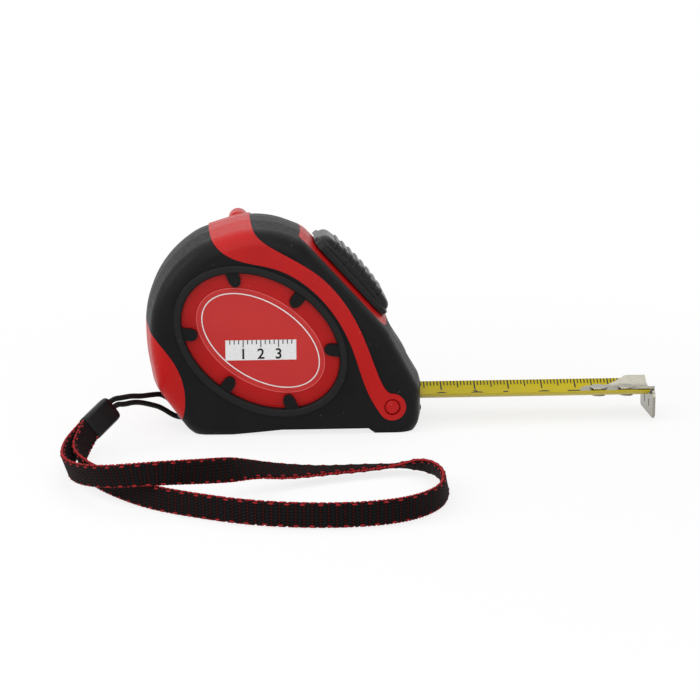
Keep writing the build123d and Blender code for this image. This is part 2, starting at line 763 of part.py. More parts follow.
def tongue_plan():
    """Outline of the tongue from above: wide before the bend, round at its shoulders, narrow and round at the tip."""
    tip_x = HOOK_FACE_X - HOOK_TONGUE
    narrow_x = tip_x + HOOK_NARROW
    wide_x = narrow_x + HOOK_FLARE
    half_tip = HOOK_TIP_WIDTH / 2
    outer = TROUGH_RADIUS - HOOK_GAP
    half_wide = outer * math.sin(HOOK_WIDTH / outer / 2)
    end_x = HOOK_FACE_X + 2 * HOOK_THICK
    sides = Polyline(
        (tip_x + half_tip, half_tip),
        (narrow_x, half_tip),
        (wide_x, half_wide),
        (end_x, half_wide),
        (end_x, -half_wide),
        (wide_x, -half_wide),
        (narrow_x, -half_tip),
        (tip_x + half_tip, -half_tip),
    )
    tip = ThreePointArc((tip_x + half_tip, -half_tip), (tip_x, 0), (tip_x + half_tip, half_tip))
    plan = make_face([sides, tip])
    for x, radius in ((narrow_x, HOOK_WAIST), (wide_x, HOOK_WAIST), (end_x, HOOK_SHOULDER)):
        corners = [vertex for vertex in plan.vertices() if abs(vertex.X - x) < HOOK_GAP]
        plan = fillet(corners, radius)
    return plan


def plate_shape():
    """Front view of the bent-down plate in y and z: toothed lower edge and two nail slots."""
    half = PLATE_WIDTH / 2
    low = HOOK_BASE_CLEARANCE
    corner_z = low + HOOK_CORNER
    half_edge = half - HOOK_CORNER
    pitch = 2 * half_edge / TOOTH_COUNT
    points = [(-half, TAPE_EDGE_Z), (-half, corner_z)]
    for step in range(TOOTH_COUNT):
        y = -half_edge + pitch * step
        points.append((y, low))
        points.append((y + pitch / 2, low + TOOTH_DEPTH))
    points += [(half_edge, low), (half, corner_z), (half, TAPE_EDGE_Z)]
    shape = make_face(Polyline(*points, close=True))
    shape = fillet([vertex for vertex in shape.vertices() if vertex.Y > TAPE_EDGE_Z - HOOK_GAP], HOOK_SHOULDER)
    slot_z = (low + corner_z + trough_axis_z - TROUGH_RADIUS) / 2
    for side in (-1, 1):
        slot = Rot(0, 0, 90) * SlotCenterToCenter(NAIL_SLOT_LENGTH - NAIL_SLOT_WIDTH, NAIL_SLOT_WIDTH)
        shape -= Pos(side * NAIL_SLOT_SPACING / 2, slot_z) * slot
    return shape


# Lock slider

def lock_button():
    """Ribbed thumb slider that follows the crown of the slope with a sliding gap."""
    base_outline = Polyline(
        (BUTTON_START, -CAVITY_INSET),
        (BUTTON_START, BUTTON_BASE_RISE),
        (BUTTON_START + BUTTON_LENGTH, BUTTON_BASE_RISE * 0.8),
        (BUTTON_START + BUTTON_LENGTH, -CAVITY_INSET),
        close=True,
    )
    base = slope_prism(make_face(base_outline), BUTTON_WIDTH)
    base = fillet(base.edges().filter_by(slope_out_edge), BUTTON_CORNER)
    base = fillet(outermost(base).edges(), BUTTON_EDGE)
    grip = slope_prism(grip_face(), GRIP_WIDTH)
    grip = fillet(grip.edges().filter_by(slope_out_edge), GRIP_CORNER)
    grip = fillet(outermost(grip).edges(), GRIP_EDGE)
    button = base + grip
    for index in range(RIB_COUNT):
        button += rib(RIB_FIRST + RIB_PITCH * index)
    return button - sliding_shell(0)


def slope_out_edge(edge):
    """True for straight edges that stand square to the slope."""
    return abs(edge.tangent_at(0.5).dot(slope_out)) > 0.99


def outermost(solid):
    """The face of a slider part that lies furthest out of the slope."""
    return max(solid.faces(), key=lambda face: face.center().dot(slope_out))


def slope_prism(sketch, width):
    """A sketch drawn along the slope and out of it, as a solid of the given width."""
    return extrude(slope_side * sketch, amount=width / 2, both=True)


def sliding_shell(rise):
    """Both halves of the case body, larger by the sliding gap and rise."""
    half = half_body(-SLIDE_GAP - COLLAR_RISE - rise)
    return half + mirror(half, about=Plane.XZ)


def grip_top(along):
    """Height of the grip over the slope, an arc through its back, middle and front heights."""
    share = along / BUTTON_LENGTH
    back = GRIP_RISE_TOP * (1 - share) * (1 - 2 * share)
    middle = GRIP_RISE_MIDDLE * 4 * share * (1 - share)
    front = GRIP_RISE_FRONT * share * (2 * share - 1)
    return back + middle + front


def grip_face():
    first = BUTTON_START + GRIP_INSET
    last = BUTTON_START + BUTTON_LENGTH - GRIP_INSET
    top = ThreePointArc(
        (first, grip_top(GRIP_INSET)),
        ((first + last) / 2, grip_top(BUTTON_LENGTH / 2)),
        (last, grip_top(BUTTON_LENGTH - GRIP_INSET)),
    )
    sides = Polyline(
        (last, grip_top(BUTTON_LENGTH - GRIP_INSET)),
        (last, 0),
        (first, 0),
        (first, grip_top(GRIP_INSET)),
    )
    return make_face([top, sides])


def rib(along):
    """One raised bar over the top of the grip and round both of its edges."""
    start = slope_side.from_local_coords(Vector(BUTTON_START + along - RIB_THICK / 2, 0, 0))
    plane = Plane(origin=start, x_dir=(0, 1, 0), z_dir=slope_run)
    width = GRIP_WIDTH + 2 * RIB_RISE
    height = 2 * (grip_top(along) + RIB_RISE)
    bar = extrude(plane * RectangleRounded(width, height, GRIP_EDGE + RIB_RISE), amount=RIB_THICK)
    bar = fillet(bar.edges().filter_by(along_slope, reverse=True), RIB_RISE * 0.8)
    top = slope_plane.offset(RIB_LOW) * Rectangle(CUT_REACH, CUT_REACH)
    return bar & extrude(top, amount=CUT_REACH)


def along_slope(edge):
    """True for edges that run along the slope."""
    return abs(edge.tangent_at(0.5).dot(slope_run)) > 0.99


def brake_shoe():
    """Leg under the slider that runs down inside the nose to clamp the tape."""
    top = slope_side.from_local_coords(Vector(LEG_START, 0, 0))
    top_end = slope_side.from_local_coords(Vector(LEG_START + LEG_THICK, 0, 0))
    knee = slope_side.from_local_coords(Vector(LEG_START, -LEG_KNEE_DEPTH, 0))
    knee_end = slope_side.from_local_coords(Vector(LEG_START + LEG_THICK, -LEG_KNEE_DEPTH + LEG_THICK / 2, 0))
    shoe_z = lead_z + TAPE_THICK + SLIDE_GAP - LOCK_TRAVEL * slope_run.Z
    shoe_top = shoe_z + LEG_THICK
    outline = Polyline(
        (top.X, top.Z),
        (top_end.X, top_end.Z),
        (knee_end.X, knee_end.Z),
        (SHOE_BACK_X + SHOE_LENGTH, shoe_top),
        (SHOE_BACK_X + SHOE_LENGTH, shoe_z),
        (SHOE_BACK_X, shoe_z),
        (SHOE_BACK_X, shoe_top),
        (knee.X, knee.Z),
        close=True,
    )
    leg = prism(make_face(outline), -LEG_WIDTH / 2, LEG_WIDTH / 2)
    return leg - lock_button_room()


def lock_button_room():
    """Space of the slider over the slope, so that the leg ends where the slider begins."""
    low = slope_plane.offset(COLLAR_RISE + SLIDE_GAP) * Rectangle(CUT_REACH, CUT_REACH)
    return extrude(low, amount=CUT_REACH)


# Belt clip

def clip_pad():
    """Flat pad with a round top on the far side of the band, where the clip is screwed on."""
    radius = CLIP_PAD_WIDTH / 2
    shape = Pos(CLIP_X, clip_pad_top_z - radius) * Circle(radius)
    height = clip_pad_top_z - radius - clip_pad_bottom_z
    shape += Pos(CLIP_X, clip_pad_bottom_z + height / 2) * Rectangle(CLIP_PAD_WIDTH, height)
    pad_face = case_half + CLIP_PAD_RISE
    pad = prism(shape, pad_face - CLIP_PAD_DEPTH, pad_face)
    return fillet(pad.faces().sort_by(Axis.Y)[0].edges(), CLIP_PAD_DEPTH / 4)


def belt_clip():
    """Spring steel strip: flat at the screw, bowed out, back to the case and turned out at the toe."""
    face_y = case_half + CLIP_PAD_RISE
    bow_z = clip_pad_bottom_z - CLIP_BEND
    points = [
        (face_y, clip_top_z),
        (face_y, clip_pad_bottom_z),
        (face_y + CLIP_BOW, bow_z),
        (face_y + CLIP_BOW, bow_z - CLIP_FLAT),
        (face_y, clip_bottom_z + 2 * CLIP_TOE),
        (face_y + CLIP_TOE, clip_bottom_z),
    ]
    line = FilletPolyline(*points, radius=CLIP_BEND / 2)
    strip = make_face(offset_band(line, CLIP_THICK))
    clip = extrude(Plane.YZ.offset(CLIP_X - CLIP_WIDTH / 2) * strip, amount=CLIP_WIDTH)
    hole = rod(CLIP_X, clip_screw_z, SCREW_SHANK + SCREW_FIT, face_y - CLIP_THICK, face_y + 2 * CLIP_THICK)
    return clip - hole


def offset_band(line, thick):
    """Closed outline of a strip that lies on the outer side of a line."""
    inner = Wire(line.edges())
    outer = inner.offset_2d(thick, side=Side.LEFT, closed=False)
    inner_start = inner @ 0
    if (outer @ 0 - inner_start).length > (outer @ 1 - inner_start).length:
        first = Line(inner @ 0, outer @ 1)
        last = Line(inner @ 1, outer @ 0)
    else:
        first = Line(inner @ 0, outer @ 0)
        last = Line(inner @ 1, outer @ 1)
    return inner.edges() + outer.edges() + [first, last]


def clip_screw():
    seat = case_half + CLIP_PAD_RISE + CLIP_THICK
    shank = rod(CLIP_X, clip_screw_z, SCREW_SHANK, seat - CLIP_THICK - CLIP_SCREW_REACH, seat)
    head = rod(CLIP_X, clip_screw_z, CLIP_SCREW_HEAD, seat, seat + CLIP_SCREW_HEAD_HEIGHT)
    return shank + fillet(head.faces().sort_by(Axis.Y)[-1].edges(), CLIP_SCREW_HEAD_HEIGHT / 2)


# Wrist strap

sleeve_low = Vector(*SLEEVE_LOW)
sleeve_high = Vector(*SLEEVE_HIGH)
sleeve_axis = (sleeve_high - sleeve_low).normalized()
sleeve_side = Vector(*SLEEVE_SIDE)
sleeve_side = (sleeve_side - sleeve_axis * sleeve_side.dot(sleeve_axis)).normalized()
sleeve_back = sleeve_axis.cross(sleeve_side)


def strap_sleeve():
    """Flat plastic sleeve between the cord and the webbing."""
    section = RectangleRounded(SLEEVE_WIDTH, SLEEVE_THICK, SLEEVE_EDGE)
    plane = Plane(origin=sleeve_low, x_dir=sleeve_side, z_dir=sleeve_axis)
    return extrude(plane * section, amount=(sleeve_high - sleeve_low).length)


def strap_webbing():
    """Woven loop on the floor with half a twist; both ends go side by side into the sleeve."""
    outward = 1 if sleeve_back.Y > 0 else -1
    layer = sleeve_back * (outward * LAYER_STEP / 2)
    centres = [sleeve_low + layer]
    edges = [sleeve_side]
    for x, y, z, edge_x, edge_y, edge_z in WEBBING_ROUTE:
        centres.append(Vector(x, y, z))
        edges.append(Vector(edge_x, edge_y, edge_z))
    centres.append(sleeve_low - layer)
    edges.append(-sleeve_side)
    sections = []
    last = len(centres) - 1
    for index, centre in enumerate(centres):
        if index == 0:
            along = -sleeve_axis
        elif index == last:
            along = sleeve_axis
        else:
            along = (centres[index + 1] - centres[index - 1]).normalized()
        edge = (edges[index] - along * edges[index].dot(along)).normalized()
        plane = Plane(origin=centre, x_dir=edge, z_dir=along)
        sections.append(plane * Rectangle(WEBBING_WIDTH, WEBBING_THICK))
    return loft(sections, ruled=True)


def cord_points():
    """Route of the cord from the sleeve round the pin in the notch and back to the sleeve."""
    turn = PIN_RADIUS + CORD_DIAMETER / 2 + PIN_TURN_FIT
    upper = sleeve_high + sleeve_side * (STRAND_RAISE + STRAND_STEP / 2)
    lower = sleeve_high + sleeve_side * (STRAND_RAISE - STRAND_STEP / 2)
    points = [upper, upper + sleeve_axis * CORD_LEAVE]
    points += [Vector(*point) for point in CORD_UPPER]
    points.append(Vector(pin_x - PIN_LEAVE, 0, PIN_Z + turn))
    points.append(Vector(pin_x + turn, 0, PIN_Z + turn))
    points.append(Vector(pin_x + turn, 0, PIN_Z - turn))
    points.append(Vector(pin_x - PIN_LEAVE, 0, PIN_Z - turn))
    points += [Vector(*point) for point in CORD_LOWER]
    points += [lower + sleeve_axis * CORD_LEAVE, lower]
    return points


def cord_radii(points):
    """Largest tangent arc at each corner of a route."""
    radii = []
    for before, corner, after in zip(points, points[1:], points[2:]):
        into = corner - before
        out = after - corner
        half_turn = math.radians(into.get_angle(out)) / 2
        radii.append(0.45 * min(into.length, out.length) / math.tan(half_turn))
    return radii


def strap_cord():
    """Thin cord loop as a plain round tube."""
    points = cord_points()
    path = FilletPolyline(*points, radius=cord_radii(points))
    start = Plane(origin=path @ 0, z_dir=path % 0)
    return sweep(start * Circle(CORD_DIAMETER / 2), path=path)


# Assembly

def build_parts():
    right_shell, left_shell, right_jacket, left_jacket = build_case()
    pad = clip_pad()
    left_shell = left_shell + pad
    left_jacket = left_jacket - pad
    for x, z in screw_places:
        hole = screw_hole(x, z)
        right_shell = right_shell - hole
        left_shell = left_shell - hole
        left_jacket = left_jacket - hole
    clip_hole = rod(CLIP_X, clip_screw_z, SCREW_SHANK, case_half + CLIP_PAD_RISE - CLIP_SCREW_REACH, 2 * case_half)
    left_shell = left_shell - clip_hole
    left_jacket = left_jacket - clip_hole
    return {
        "right_shell": right_shell,
        "left_shell": left_shell,
        "right_jacket": right_jacket,
        "left_jacket": left_jacket,
        "right_label": label(-1),
        "left_label": label(1),
        "nose_caps": Compound(children=[nose_cap(-1), nose_cap(1)]),
        "case_screws": Compound(children=case_screws()),
        "reel_post": reel_post(),
        "tape_drum": tape_drum(),
        "drum_lid": drum_lid(),
        "tape_coil": tape_coil(),
        "mainspring": mainspring(),
        "tape_lead": tape_lead(),
        "mouth_guide": mouth_guide(),
        "lanyard_pin": rod(pin_x, PIN_Z, PIN_RADIUS, -PIN_LENGTH / 2, PIN_LENGTH / 2),
        "tape_blade": tape_blade(),
        "hook_rivets": Compound(children=hook_rivets()),
        "end_hook": end_hook(),
        "lock_button": lock_button(),
        "brake_shoe": brake_shoe(),
        "belt_clip": belt_clip(),
        "clip_screw": clip_screw(),
        "strap_cord": strap_cord(),
        "strap_sleeve": strap_sleeve(),
        "strap_webbing": strap_webbing(),
    }


os.makedirs("parts", exist_ok=True)
for node, shape in build_parts().items():
    export_step(shape, os.path.join("parts", node + ".step"))
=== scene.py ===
import math

import bmesh
import bpy
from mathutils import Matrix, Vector


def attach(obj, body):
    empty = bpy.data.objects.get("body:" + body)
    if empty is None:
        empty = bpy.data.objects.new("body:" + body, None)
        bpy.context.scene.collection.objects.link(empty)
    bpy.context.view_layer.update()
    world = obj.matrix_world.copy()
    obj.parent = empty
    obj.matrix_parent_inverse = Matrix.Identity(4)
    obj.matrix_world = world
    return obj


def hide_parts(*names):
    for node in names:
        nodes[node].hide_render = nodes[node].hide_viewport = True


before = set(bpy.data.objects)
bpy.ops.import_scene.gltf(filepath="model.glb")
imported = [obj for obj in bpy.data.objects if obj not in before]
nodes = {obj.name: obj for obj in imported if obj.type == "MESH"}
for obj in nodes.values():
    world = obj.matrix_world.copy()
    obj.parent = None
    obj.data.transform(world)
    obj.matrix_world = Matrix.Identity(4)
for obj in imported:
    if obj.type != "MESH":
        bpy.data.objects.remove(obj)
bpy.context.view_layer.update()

MM = 0.001
MM_IN_METRE = 1000

# Camera, fitted to the photograph: aim point, distance, angles and focal length in image widths
CAMERA_AIM = Vector((-10.36, 0.0, 20.37)) * MM
CAMERA_DISTANCE = 600 * MM
CAMERA_AZIMUTH = -4.0
CAMERA_ELEVATION = 13.0
CAMERA_FOCAL = 2059.85 / 700
SENSOR_WIDTH = 36.0
CLIP_START = 0.01

# Stage, in metres: the floor's glow rises from FLOOR_GLOW near the object to full white away from it
FLOOR_HALF = 3.0
FLOOR_DROP = 0.0002
FLOOR_TONE = (0.9, 0.9, 0.9, 1)
FLOOR_MIDDLE = (-0.01, -0.03, 0.0)
FLOOR_NEAR = 0.09
FLOOR_FAR = 0.24
FLOOR_GLOW = 0.80
WORLD_LIGHT = 0.34
WHITE = (1, 1, 1, 1)

# Lamps: name, place and the two sides in metres, power in watts
LAMP_AIM = Vector((-0.02, -0.02, 0.03))
LAMPS = [
    ("top", (-0.10, 0.05, 0.75), (1.3, 1.0), 4.2),
    ("front", (-0.10, -0.75, 0.40), (1.0, 0.7), 2.9),
    ("left", (-0.65, -0.15, 0.40), (0.25, 0.35), 1.7),
]

# Tape, as in the solids
TAPE_WIDTH = 16.0
TROUGH_RADIUS = 11.6
TAPE_EDGE_Z = 8.8
BLADE_START_X = 7.6

# Print on the tape: a tick has the length and the width of the first step that divides its distance
PRINT_LIFT = 0.03
SCALE_ZERO_X = 77.0
CENTIMETRE = 10
FIRST_TICK = 2
TICK_SIZES = ((10, (3.8, 0.42)), (5, (2.7, 0.37)), (1, (1.8, 0.33)))
TICK_INSET = 0.05
TICK_STEPS = 4
NUMBER_START = 5.3
NUMBER_HALF = 3.0
NUMBER_SIZE = 10.6
NUMBER_BOLD = 0.22
NUMBER_BAND = 0.5
POINTER_PLACE = 50
POINTER_TIP = 4.0
POINTER_FOOT = 4.9
POINTER_HALF = 0.8

# Case panel, as in the solids
PANEL_X = -36.7
PANEL_Z = 27.2
PANEL_TILT = -34.0
WINDOW_LONG = 24.2
WINDOW_SHORT = 17.2
RING_WIDTH = 2.4
LABEL_LONG = 20.2
LABEL_SHORT = 12.4
LABEL_Y = 16.05

# Print on the labels: oval lines with an inset and a width, the one on the edge a painted highlight, and
# a plain scale
EDGE_HIGHLIGHT_LINE = (0.02, 0.26)
INNER_LINE = (1.5, 0.3)
LINE_STEPS = 96
SCALE_HALF = 10.0
SCALE_TOP = 0.2
SCALE_HEIGHT = 5.8
SCALE_UNITS = 4
UNIT_PARTS = 4
UNIT_TICK = 2.1
PART_TICK = 1.2
SCALE_TICK_HALF = 0.14
SCALE_NUMBER_SIZE = 4.2
SCALE_NUMBER_BOLD = 0.08
SCALE_NUMBER_RAISE = 0.4
LETTER_STEPS = 4

# Wrist strap, as in the solids
WEBBING_WIDTH = 6.2
WEBBING_THICK = 1.2
LAYER_STEP = 1.4
SLEEVE_WIDTH = 7.2
SLEEVE_THICK = 3.5
SLEEVE_LOW = Vector((-84.55, -35.0, 7.1))
SLEEVE_HIGH = Vector((-78.7, -25.0, 10.7))
SLEEVE_SIDE = Vector((-0.62, 0.0, 0.78))
CORD_DIAMETER = 1.5
STRAND_STEP = 1.8
STRAND_RAISE = 0.6
CORD_LEAVE = 2.6
PIN = Vector((-59.8, 0.0, 3.0))
PIN_TURN = 1.87
PIN_LEAVE = 1.4

# Finish of the strap, in millimetres and degrees; a bead's half sizes are its length, width and thickness
SLEEVE_CORNER = 1.25
DASH_PITCH = 4.0
DASH_START = 0.6
DASH_HALF = (0.70, 0.25, 0.18)
DASH_INSET = 0.42
DASH_SINK = 0.06
ROPE_PITCH = 1.1
ROPE_START = 0.3
ROPE_HALF = (0.64, 0.24, 0.32)
ROPE_SLANT = 24.0
ROPE_SINK = 0.04
SCALLOP_PITCH = 2.0
SCALLOP_DEPTH = 0.15
WEAVE_COLUMN = 2.0
WEAVE_ROW = 0.85
WEAVE_SLANT = 0.45
BRAID_PITCH = 1.5
BRAID_STRANDS = 8
BRAID_VALLEY = 0.84
BRAID_RISE = 0.19

# Steps of the strap's meshes
WEBBING_STEPS = 20
STRIP_STEPS = 8
STRIP_EDGE_TURNS = (-60, -30, 0, 30, 60)
CORD_STEPS = 32
BRAID_STEPS = 32
BEAD_RINGS = 6
BEAD_SIDES = 8
CORNER_STEPS = 5

# Name of the coordinates on a strip
STRIP_MAP = "strap"

# Parting line of the case halves, and the soft edge of the painted highlight on the raised ring as a
# share of its size
SEAM_HALF = 0.22
SEAM_CORE = 0.7
RING_SOFT = 0.03

# Noise, with the part of its range that is used, and dust specks, as a share of their cells
NOISE_ROUGH = 0.55
NOISE_LOW = 0.3
NOISE_HIGH = 0.7
SPECK_SIZE = 0.06

# Colours; a pair holds two tones that a surface drifts between
DUST = (0.20, 0.20, 0.20)
RED_TONES = ((0.47, 0.0046, 0.0042), (0.42, 0.0036, 0.0034))
RED_DUST = (0.62, 0.30, 0.28)
RED_SEAM = (0.10, 0.004, 0.004)
RUBBER_TONES = ((0.0032, 0.0033, 0.0038), (0.0052, 0.0053, 0.0060))
# Painted highlight: the raised ring round the panel is paler, as where its slope catches the light
RUBBER_RING_HIGHLIGHT = (0.0120, 0.0116, 0.0118)
RUBBER_SEAM = (0.002, 0.002, 0.002)
BLACK_TONES = ((0.0024, 0.0024, 0.0027), (0.0042, 0.0042, 0.0047))
LABEL_TONES = ((0.54, 0.026, 0.024), (0.50, 0.021, 0.019))
TAPE_TONES = ((0.54, 0.435, 0.003), (0.50, 0.40, 0.0025))
DRUM_TONES = ((0.50, 0.50, 0.48), (0.44, 0.44, 0.42))
FIBRE_TONES = ((0.0026, 0.0021, 0.0021), (0.0056, 0.0048, 0.0048))
# Painted highlight on the slanting ribs of the webbing's weave
RIB_HIGHLIGHT = (0.0115, 0.0108, 0.0108)
RED_PICK = (0.060, 0.0042, 0.0048)
CORD_TONES = ((0.0034, 0.0033, 0.0034), (0.0090, 0.0088, 0.0090))
YARN_TONES = ((0.38, 0.013, 0.017), (0.25, 0.0070, 0.0095))
NICKEL_TONES = ((0.34, 0.325, 0.275), (0.27, 0.255, 0.21))
STEEL_TONES = ((0.50, 0.50, 0.52), (0.40, 0.40, 0.42))
SPRING_TONES = ((0.40, 0.41, 0.43), (0.36, 0.37, 0.39))
DARK_STEEL_TONES = ((0.11, 0.11, 0.12), (0.08, 0.08, 0.09))
BLACK_PRINT = (0.007, 0.0062, 0.005)
WHITE_PRINT = (0.74, 0.74, 0.74)
# Painted highlight: the pale line round each label's edge stands for its rim catching the light
LABEL_EDGE_HIGHLIGHT = (0.66, 0.085, 0.085)
PRINT_GAIN = 1.15
PRINT_HAZE = 0.003


# Node helpers

class Nodes:
    """Short calls for the nodes of a material or a world."""

    def __init__(self, owner):
        owner.use_nodes = True
        self.tree = owner.node_tree

    def node(self, kind, **values):
        made = self.tree.nodes.new(kind)
        for key, value in values.items():
            setattr(made, key, value)
        return made

    def link(self, source, target):
        self.tree.links.new(source, target)

    def math(self, operation, first, second=None):
        """The result of an operation on numbers or sockets."""
        node = self.node("ShaderNodeMath", operation=operation)
        for socket, value in zip(node.inputs, (first, second)):
            if value is None:
                continue
            if isinstance(value, (int, float)):
                socket.default_value = value
            else:
                self.link(value, socket)
        return node.outputs["Value"]

    def length(self, first, second):
        """Length of a step with these two parts at a right angle."""
        squares = [self.math("MULTIPLY", part, part) for part in (first, second)]
        return self.math("SQRT", self.math("ADD", *squares))

    def spread(self, source, low, high, start, stop):
        """A number from low to high as source goes from start to stop."""
        ramp = self.node("ShaderNodeMapRange")
        ramp.inputs["From Min"].default_value = start
        ramp.inputs["From Max"].default_value = stop
        ramp.inputs["To Min"].default_value = low
        ramp.inputs["To Max"].default_value = high
        self.link(source, ramp.inputs["Value"])
        return ramp.outputs["Result"]

    def object_place(self):
        """Object coordinates in metres."""
        return self.node("ShaderNodeTexCoord").outputs["Object"]

    def axes(self, source):
        """The parts X, Y and Z of a vector."""
        split = self.node("ShaderNodeSeparateXYZ")
        self.link(source, split.inputs["Vector"])
        return split.outputs

    def white_rays(self):
        """One for rays that show the white background: from the camera, off gloss and through glass."""
        path = self.node("ShaderNodeLightPath")
        seen = path.outputs["Is Camera Ray"]
        for kind in ("Is Glossy Ray", "Is Transmission Ray"):
            seen = self.math("MAXIMUM", seen, path.outputs[kind])
        return seen

    def end_in_mix(self, kind, share, first, second):
        """Ends the tree in two mixed shaders; share is the second one's."""
        mix = self.node("ShaderNodeMixShader")
        output = self.node(kind)
        self.link(share, mix.inputs["Fac"])
        self.link(first, mix.inputs[1])
        self.link(second, mix.inputs[2])
        self.link(mix.outputs["Shader"], output.inputs["Surface"])


class Paint(Nodes):
    """A material with a principled shader."""

    def __init__(self, name):
        self.material = bpy.data.materials.new(name)
        super().__init__(self.material)
        self.shader = self.tree.nodes["Principled BSDF"]

    def set(self, **values):
        """Plain values of the shader, with underscores for the spaces in their names."""
        for key, value in values.items():
            self.shader.inputs[key.replace("_", " ")].default_value = value

    def place(self, scale):
        """Object coordinates in millimetres times scale."""
        mapping = self.node("ShaderNodeMapping")
        for axis in range(3):
            mapping.inputs["Scale"].default_value[axis] = MM_IN_METRE * scale
        self.link(self.object_place(), mapping.inputs["Vector"])
        return mapping.outputs["Vector"]

    def noise(self, scale, detail=3.0):
        texture = self.node("ShaderNodeTexNoise")
        texture.inputs["Scale"].default_value = 1.0
        texture.inputs["Detail"].default_value = detail
        texture.inputs["Roughness"].default_value = NOISE_ROUGH
        self.link(self.place(scale), texture.inputs["Vector"])
        return texture.outputs["Fac"]

    def drift(self, scale, low, high):
        """A number that drifts between low and high over the surface."""
        return self.spread(self.noise(scale), low, high, NOISE_LOW, NOISE_HIGH)

    def blend(self, factor, first, second):
        """A colour between first and second; each is a colour or a socket."""
        mix = self.node("ShaderNodeMix", data_type="RGBA")
        self.link(factor, mix.inputs["Factor"])
        for socket, value in ((mix.inputs[6], first), (mix.inputs[7], second)):
            if isinstance(value, tuple):
                socket.default_value = (*value, 1.0)
            else:
                self.link(value, socket)
        return mix.outputs[2]

    def tones(self, scale, pair):
        """A colour that drifts between a pair of tones."""
        return self.blend(self.drift(scale, 0.0, 1.0), *pair)

    def specks(self, cells, share, strength):
        """Strength in scattered specks: so many cells a millimetre, and a speck in this share of them."""
        texture = self.node("ShaderNodeTexVoronoi")
        texture.inputs["Scale"].default_value = 1.0
        self.link(self.place(cells), texture.inputs["Vector"])
        near = self.math("LESS_THAN", texture.outputs["Distance"], SPECK_SIZE)
        parts = self.node("ShaderNodeSeparateColor")
        self.link(texture.outputs["Color"], parts.inputs["Color"])
        chosen = self.math("LESS_THAN", parts.outputs["Red"], share)
        return self.math("MULTIPLY", self.math("MULTIPLY", near, chosen), strength)

    def seam(self):
        """One on the thin parting line where the case halves meet, and zero elsewhere."""
        away = self.math("ABSOLUTE", self.axes(self.object_place())["Y"])
        return self.spread(away, 1.0, 0.0, SEAM_HALF * SEAM_CORE * MM, SEAM_HALF * MM)

    def oval(self, half_long, half_short):
        """Distance from the panel's middle as a share of an oval that is tilted as the panel is."""
        here = self.axes(self.object_place())
        x = self.math("SUBTRACT", here["X"], PANEL_X * MM)
        z = self.math("SUBTRACT", here["Z"], PANEL_Z * MM)
        tilt = math.radians(PANEL_TILT)
        shares = []
        for along_x, along_z, half in (
            (math.cos(tilt), math.sin(tilt), half_long),
            (-math.sin(tilt), math.cos(tilt), half_short),
        ):
            part_x = self.math("MULTIPLY", x, along_x / (half * MM))
            part_z = self.math("MULTIPLY", z, along_z / (half * MM))
            shares.append(self.math("ADD", part_x, part_z))
        return self.length(*shares)

    def ring(self):
        """One on the raised ring round the panel, where a highlight is painted, and zero elsewhere."""
        outer = self.oval(WINDOW_LONG + RING_WIDTH, WINDOW_SHORT + RING_WIDTH)
        inner = self.oval(WINDOW_LONG, WINDOW_SHORT)
        within = self.spread(outer, 1.0, 0.0, 1.0 - RING_SOFT, 1.0)
        beyond = self.spread(inner, 0.0, 1.0, 1.0, 1.0 + RING_SOFT)
        return self.math("MULTIPLY", within, beyond)

    def colour(self, source):
        self.link(source, self.shader.inputs["Base Color"])

    def rough(self, scale, low, high):
        """Roughness that drifts between low and high."""
        self.link(self.drift(scale, low, high), self.shader.inputs["Roughness"])

    def bump(self, height, depth, strength):
        """Relief that follows a height, depth in millimetres."""
        node = self.node("ShaderNodeBump")
        node.inputs["Strength"].default_value = strength
        node.inputs["Distance"].default_value = depth * MM
        self.link(height, node.inputs["Height"])
        self.link(node.outputs["Normal"], self.shader.inputs["Normal"])

    def grain(self, scale, depth, strength, detail=2.0):
        """Fine uneven relief."""
        self.bump(self.noise(scale, detail), depth, strength)


# Materials

def red_plastic():
    """Satin moulded red with a faint cloudiness, dust and the parting line."""
    paint = Paint("red_plastic")
    dust = paint.specks(cells=0.45, share=0.35, strength=0.35)
    dusty = paint.blend(dust, paint.tones(scale=0.08, pair=RED_TONES), RED_DUST)
    paint.colour(paint.blend(paint.seam(), dusty, RED_SEAM))
    paint.rough(scale=0.6, low=0.34, high=0.44)
    paint.grain(scale=3.0, depth=0.02, strength=0.25)
    paint.set(Specular_IOR_Level=0.22)
    return paint.material


def black_rubber():
    """Matte overmould with a fine grain, a painted highlight on the raised ring round the panel, dust and
    the parting line.
    """
    paint = Paint("black_rubber")
    # The raised ring gets a paler tone, a painted highlight where its slope catches the light
    tone = paint.blend(paint.ring(), paint.tones(scale=0.15, pair=RUBBER_TONES), RUBBER_RING_HIGHLIGHT)
    dusty = paint.blend(paint.specks(cells=0.5, share=0.4, strength=0.5), tone, DUST)
    paint.colour(paint.blend(paint.seam(), dusty, RUBBER_SEAM))
    paint.rough(scale=0.8, low=0.42, high=0.54)
    paint.grain(scale=4.5, depth=0.04, strength=0.3)
    paint.set(Specular_IOR_Level=0.13)
    return paint.material


def black_plastic(name, rough_low, rough_high, specular):
    """Hard black, smoother than the rubber, with some dust."""
    paint = Paint(name)
    dust = paint.specks(cells=0.6, share=0.4, strength=0.4)
    paint.colour(paint.blend(dust, paint.tones(scale=0.4, pair=BLACK_TONES), DUST))
    paint.rough(scale=1.0, low=rough_low, high=rough_high)
    paint.grain(scale=3.5, depth=0.03, strength=0.3)
    paint.set(Specular_IOR_Level=specular)
    return paint.material


def label_film():
    """Printed film, a little paler than the panel under it."""
    paint = Paint("label_film")
    paint.colour(paint.tones(scale=0.05, pair=LABEL_TONES))
    paint.rough(scale=0.5, low=0.38, high=0.46)
    paint.grain(scale=0.4, depth=0.01, strength=0.2, detail=1.0)
    paint.set(Specular_IOR_Level=0.30)
    return paint.material


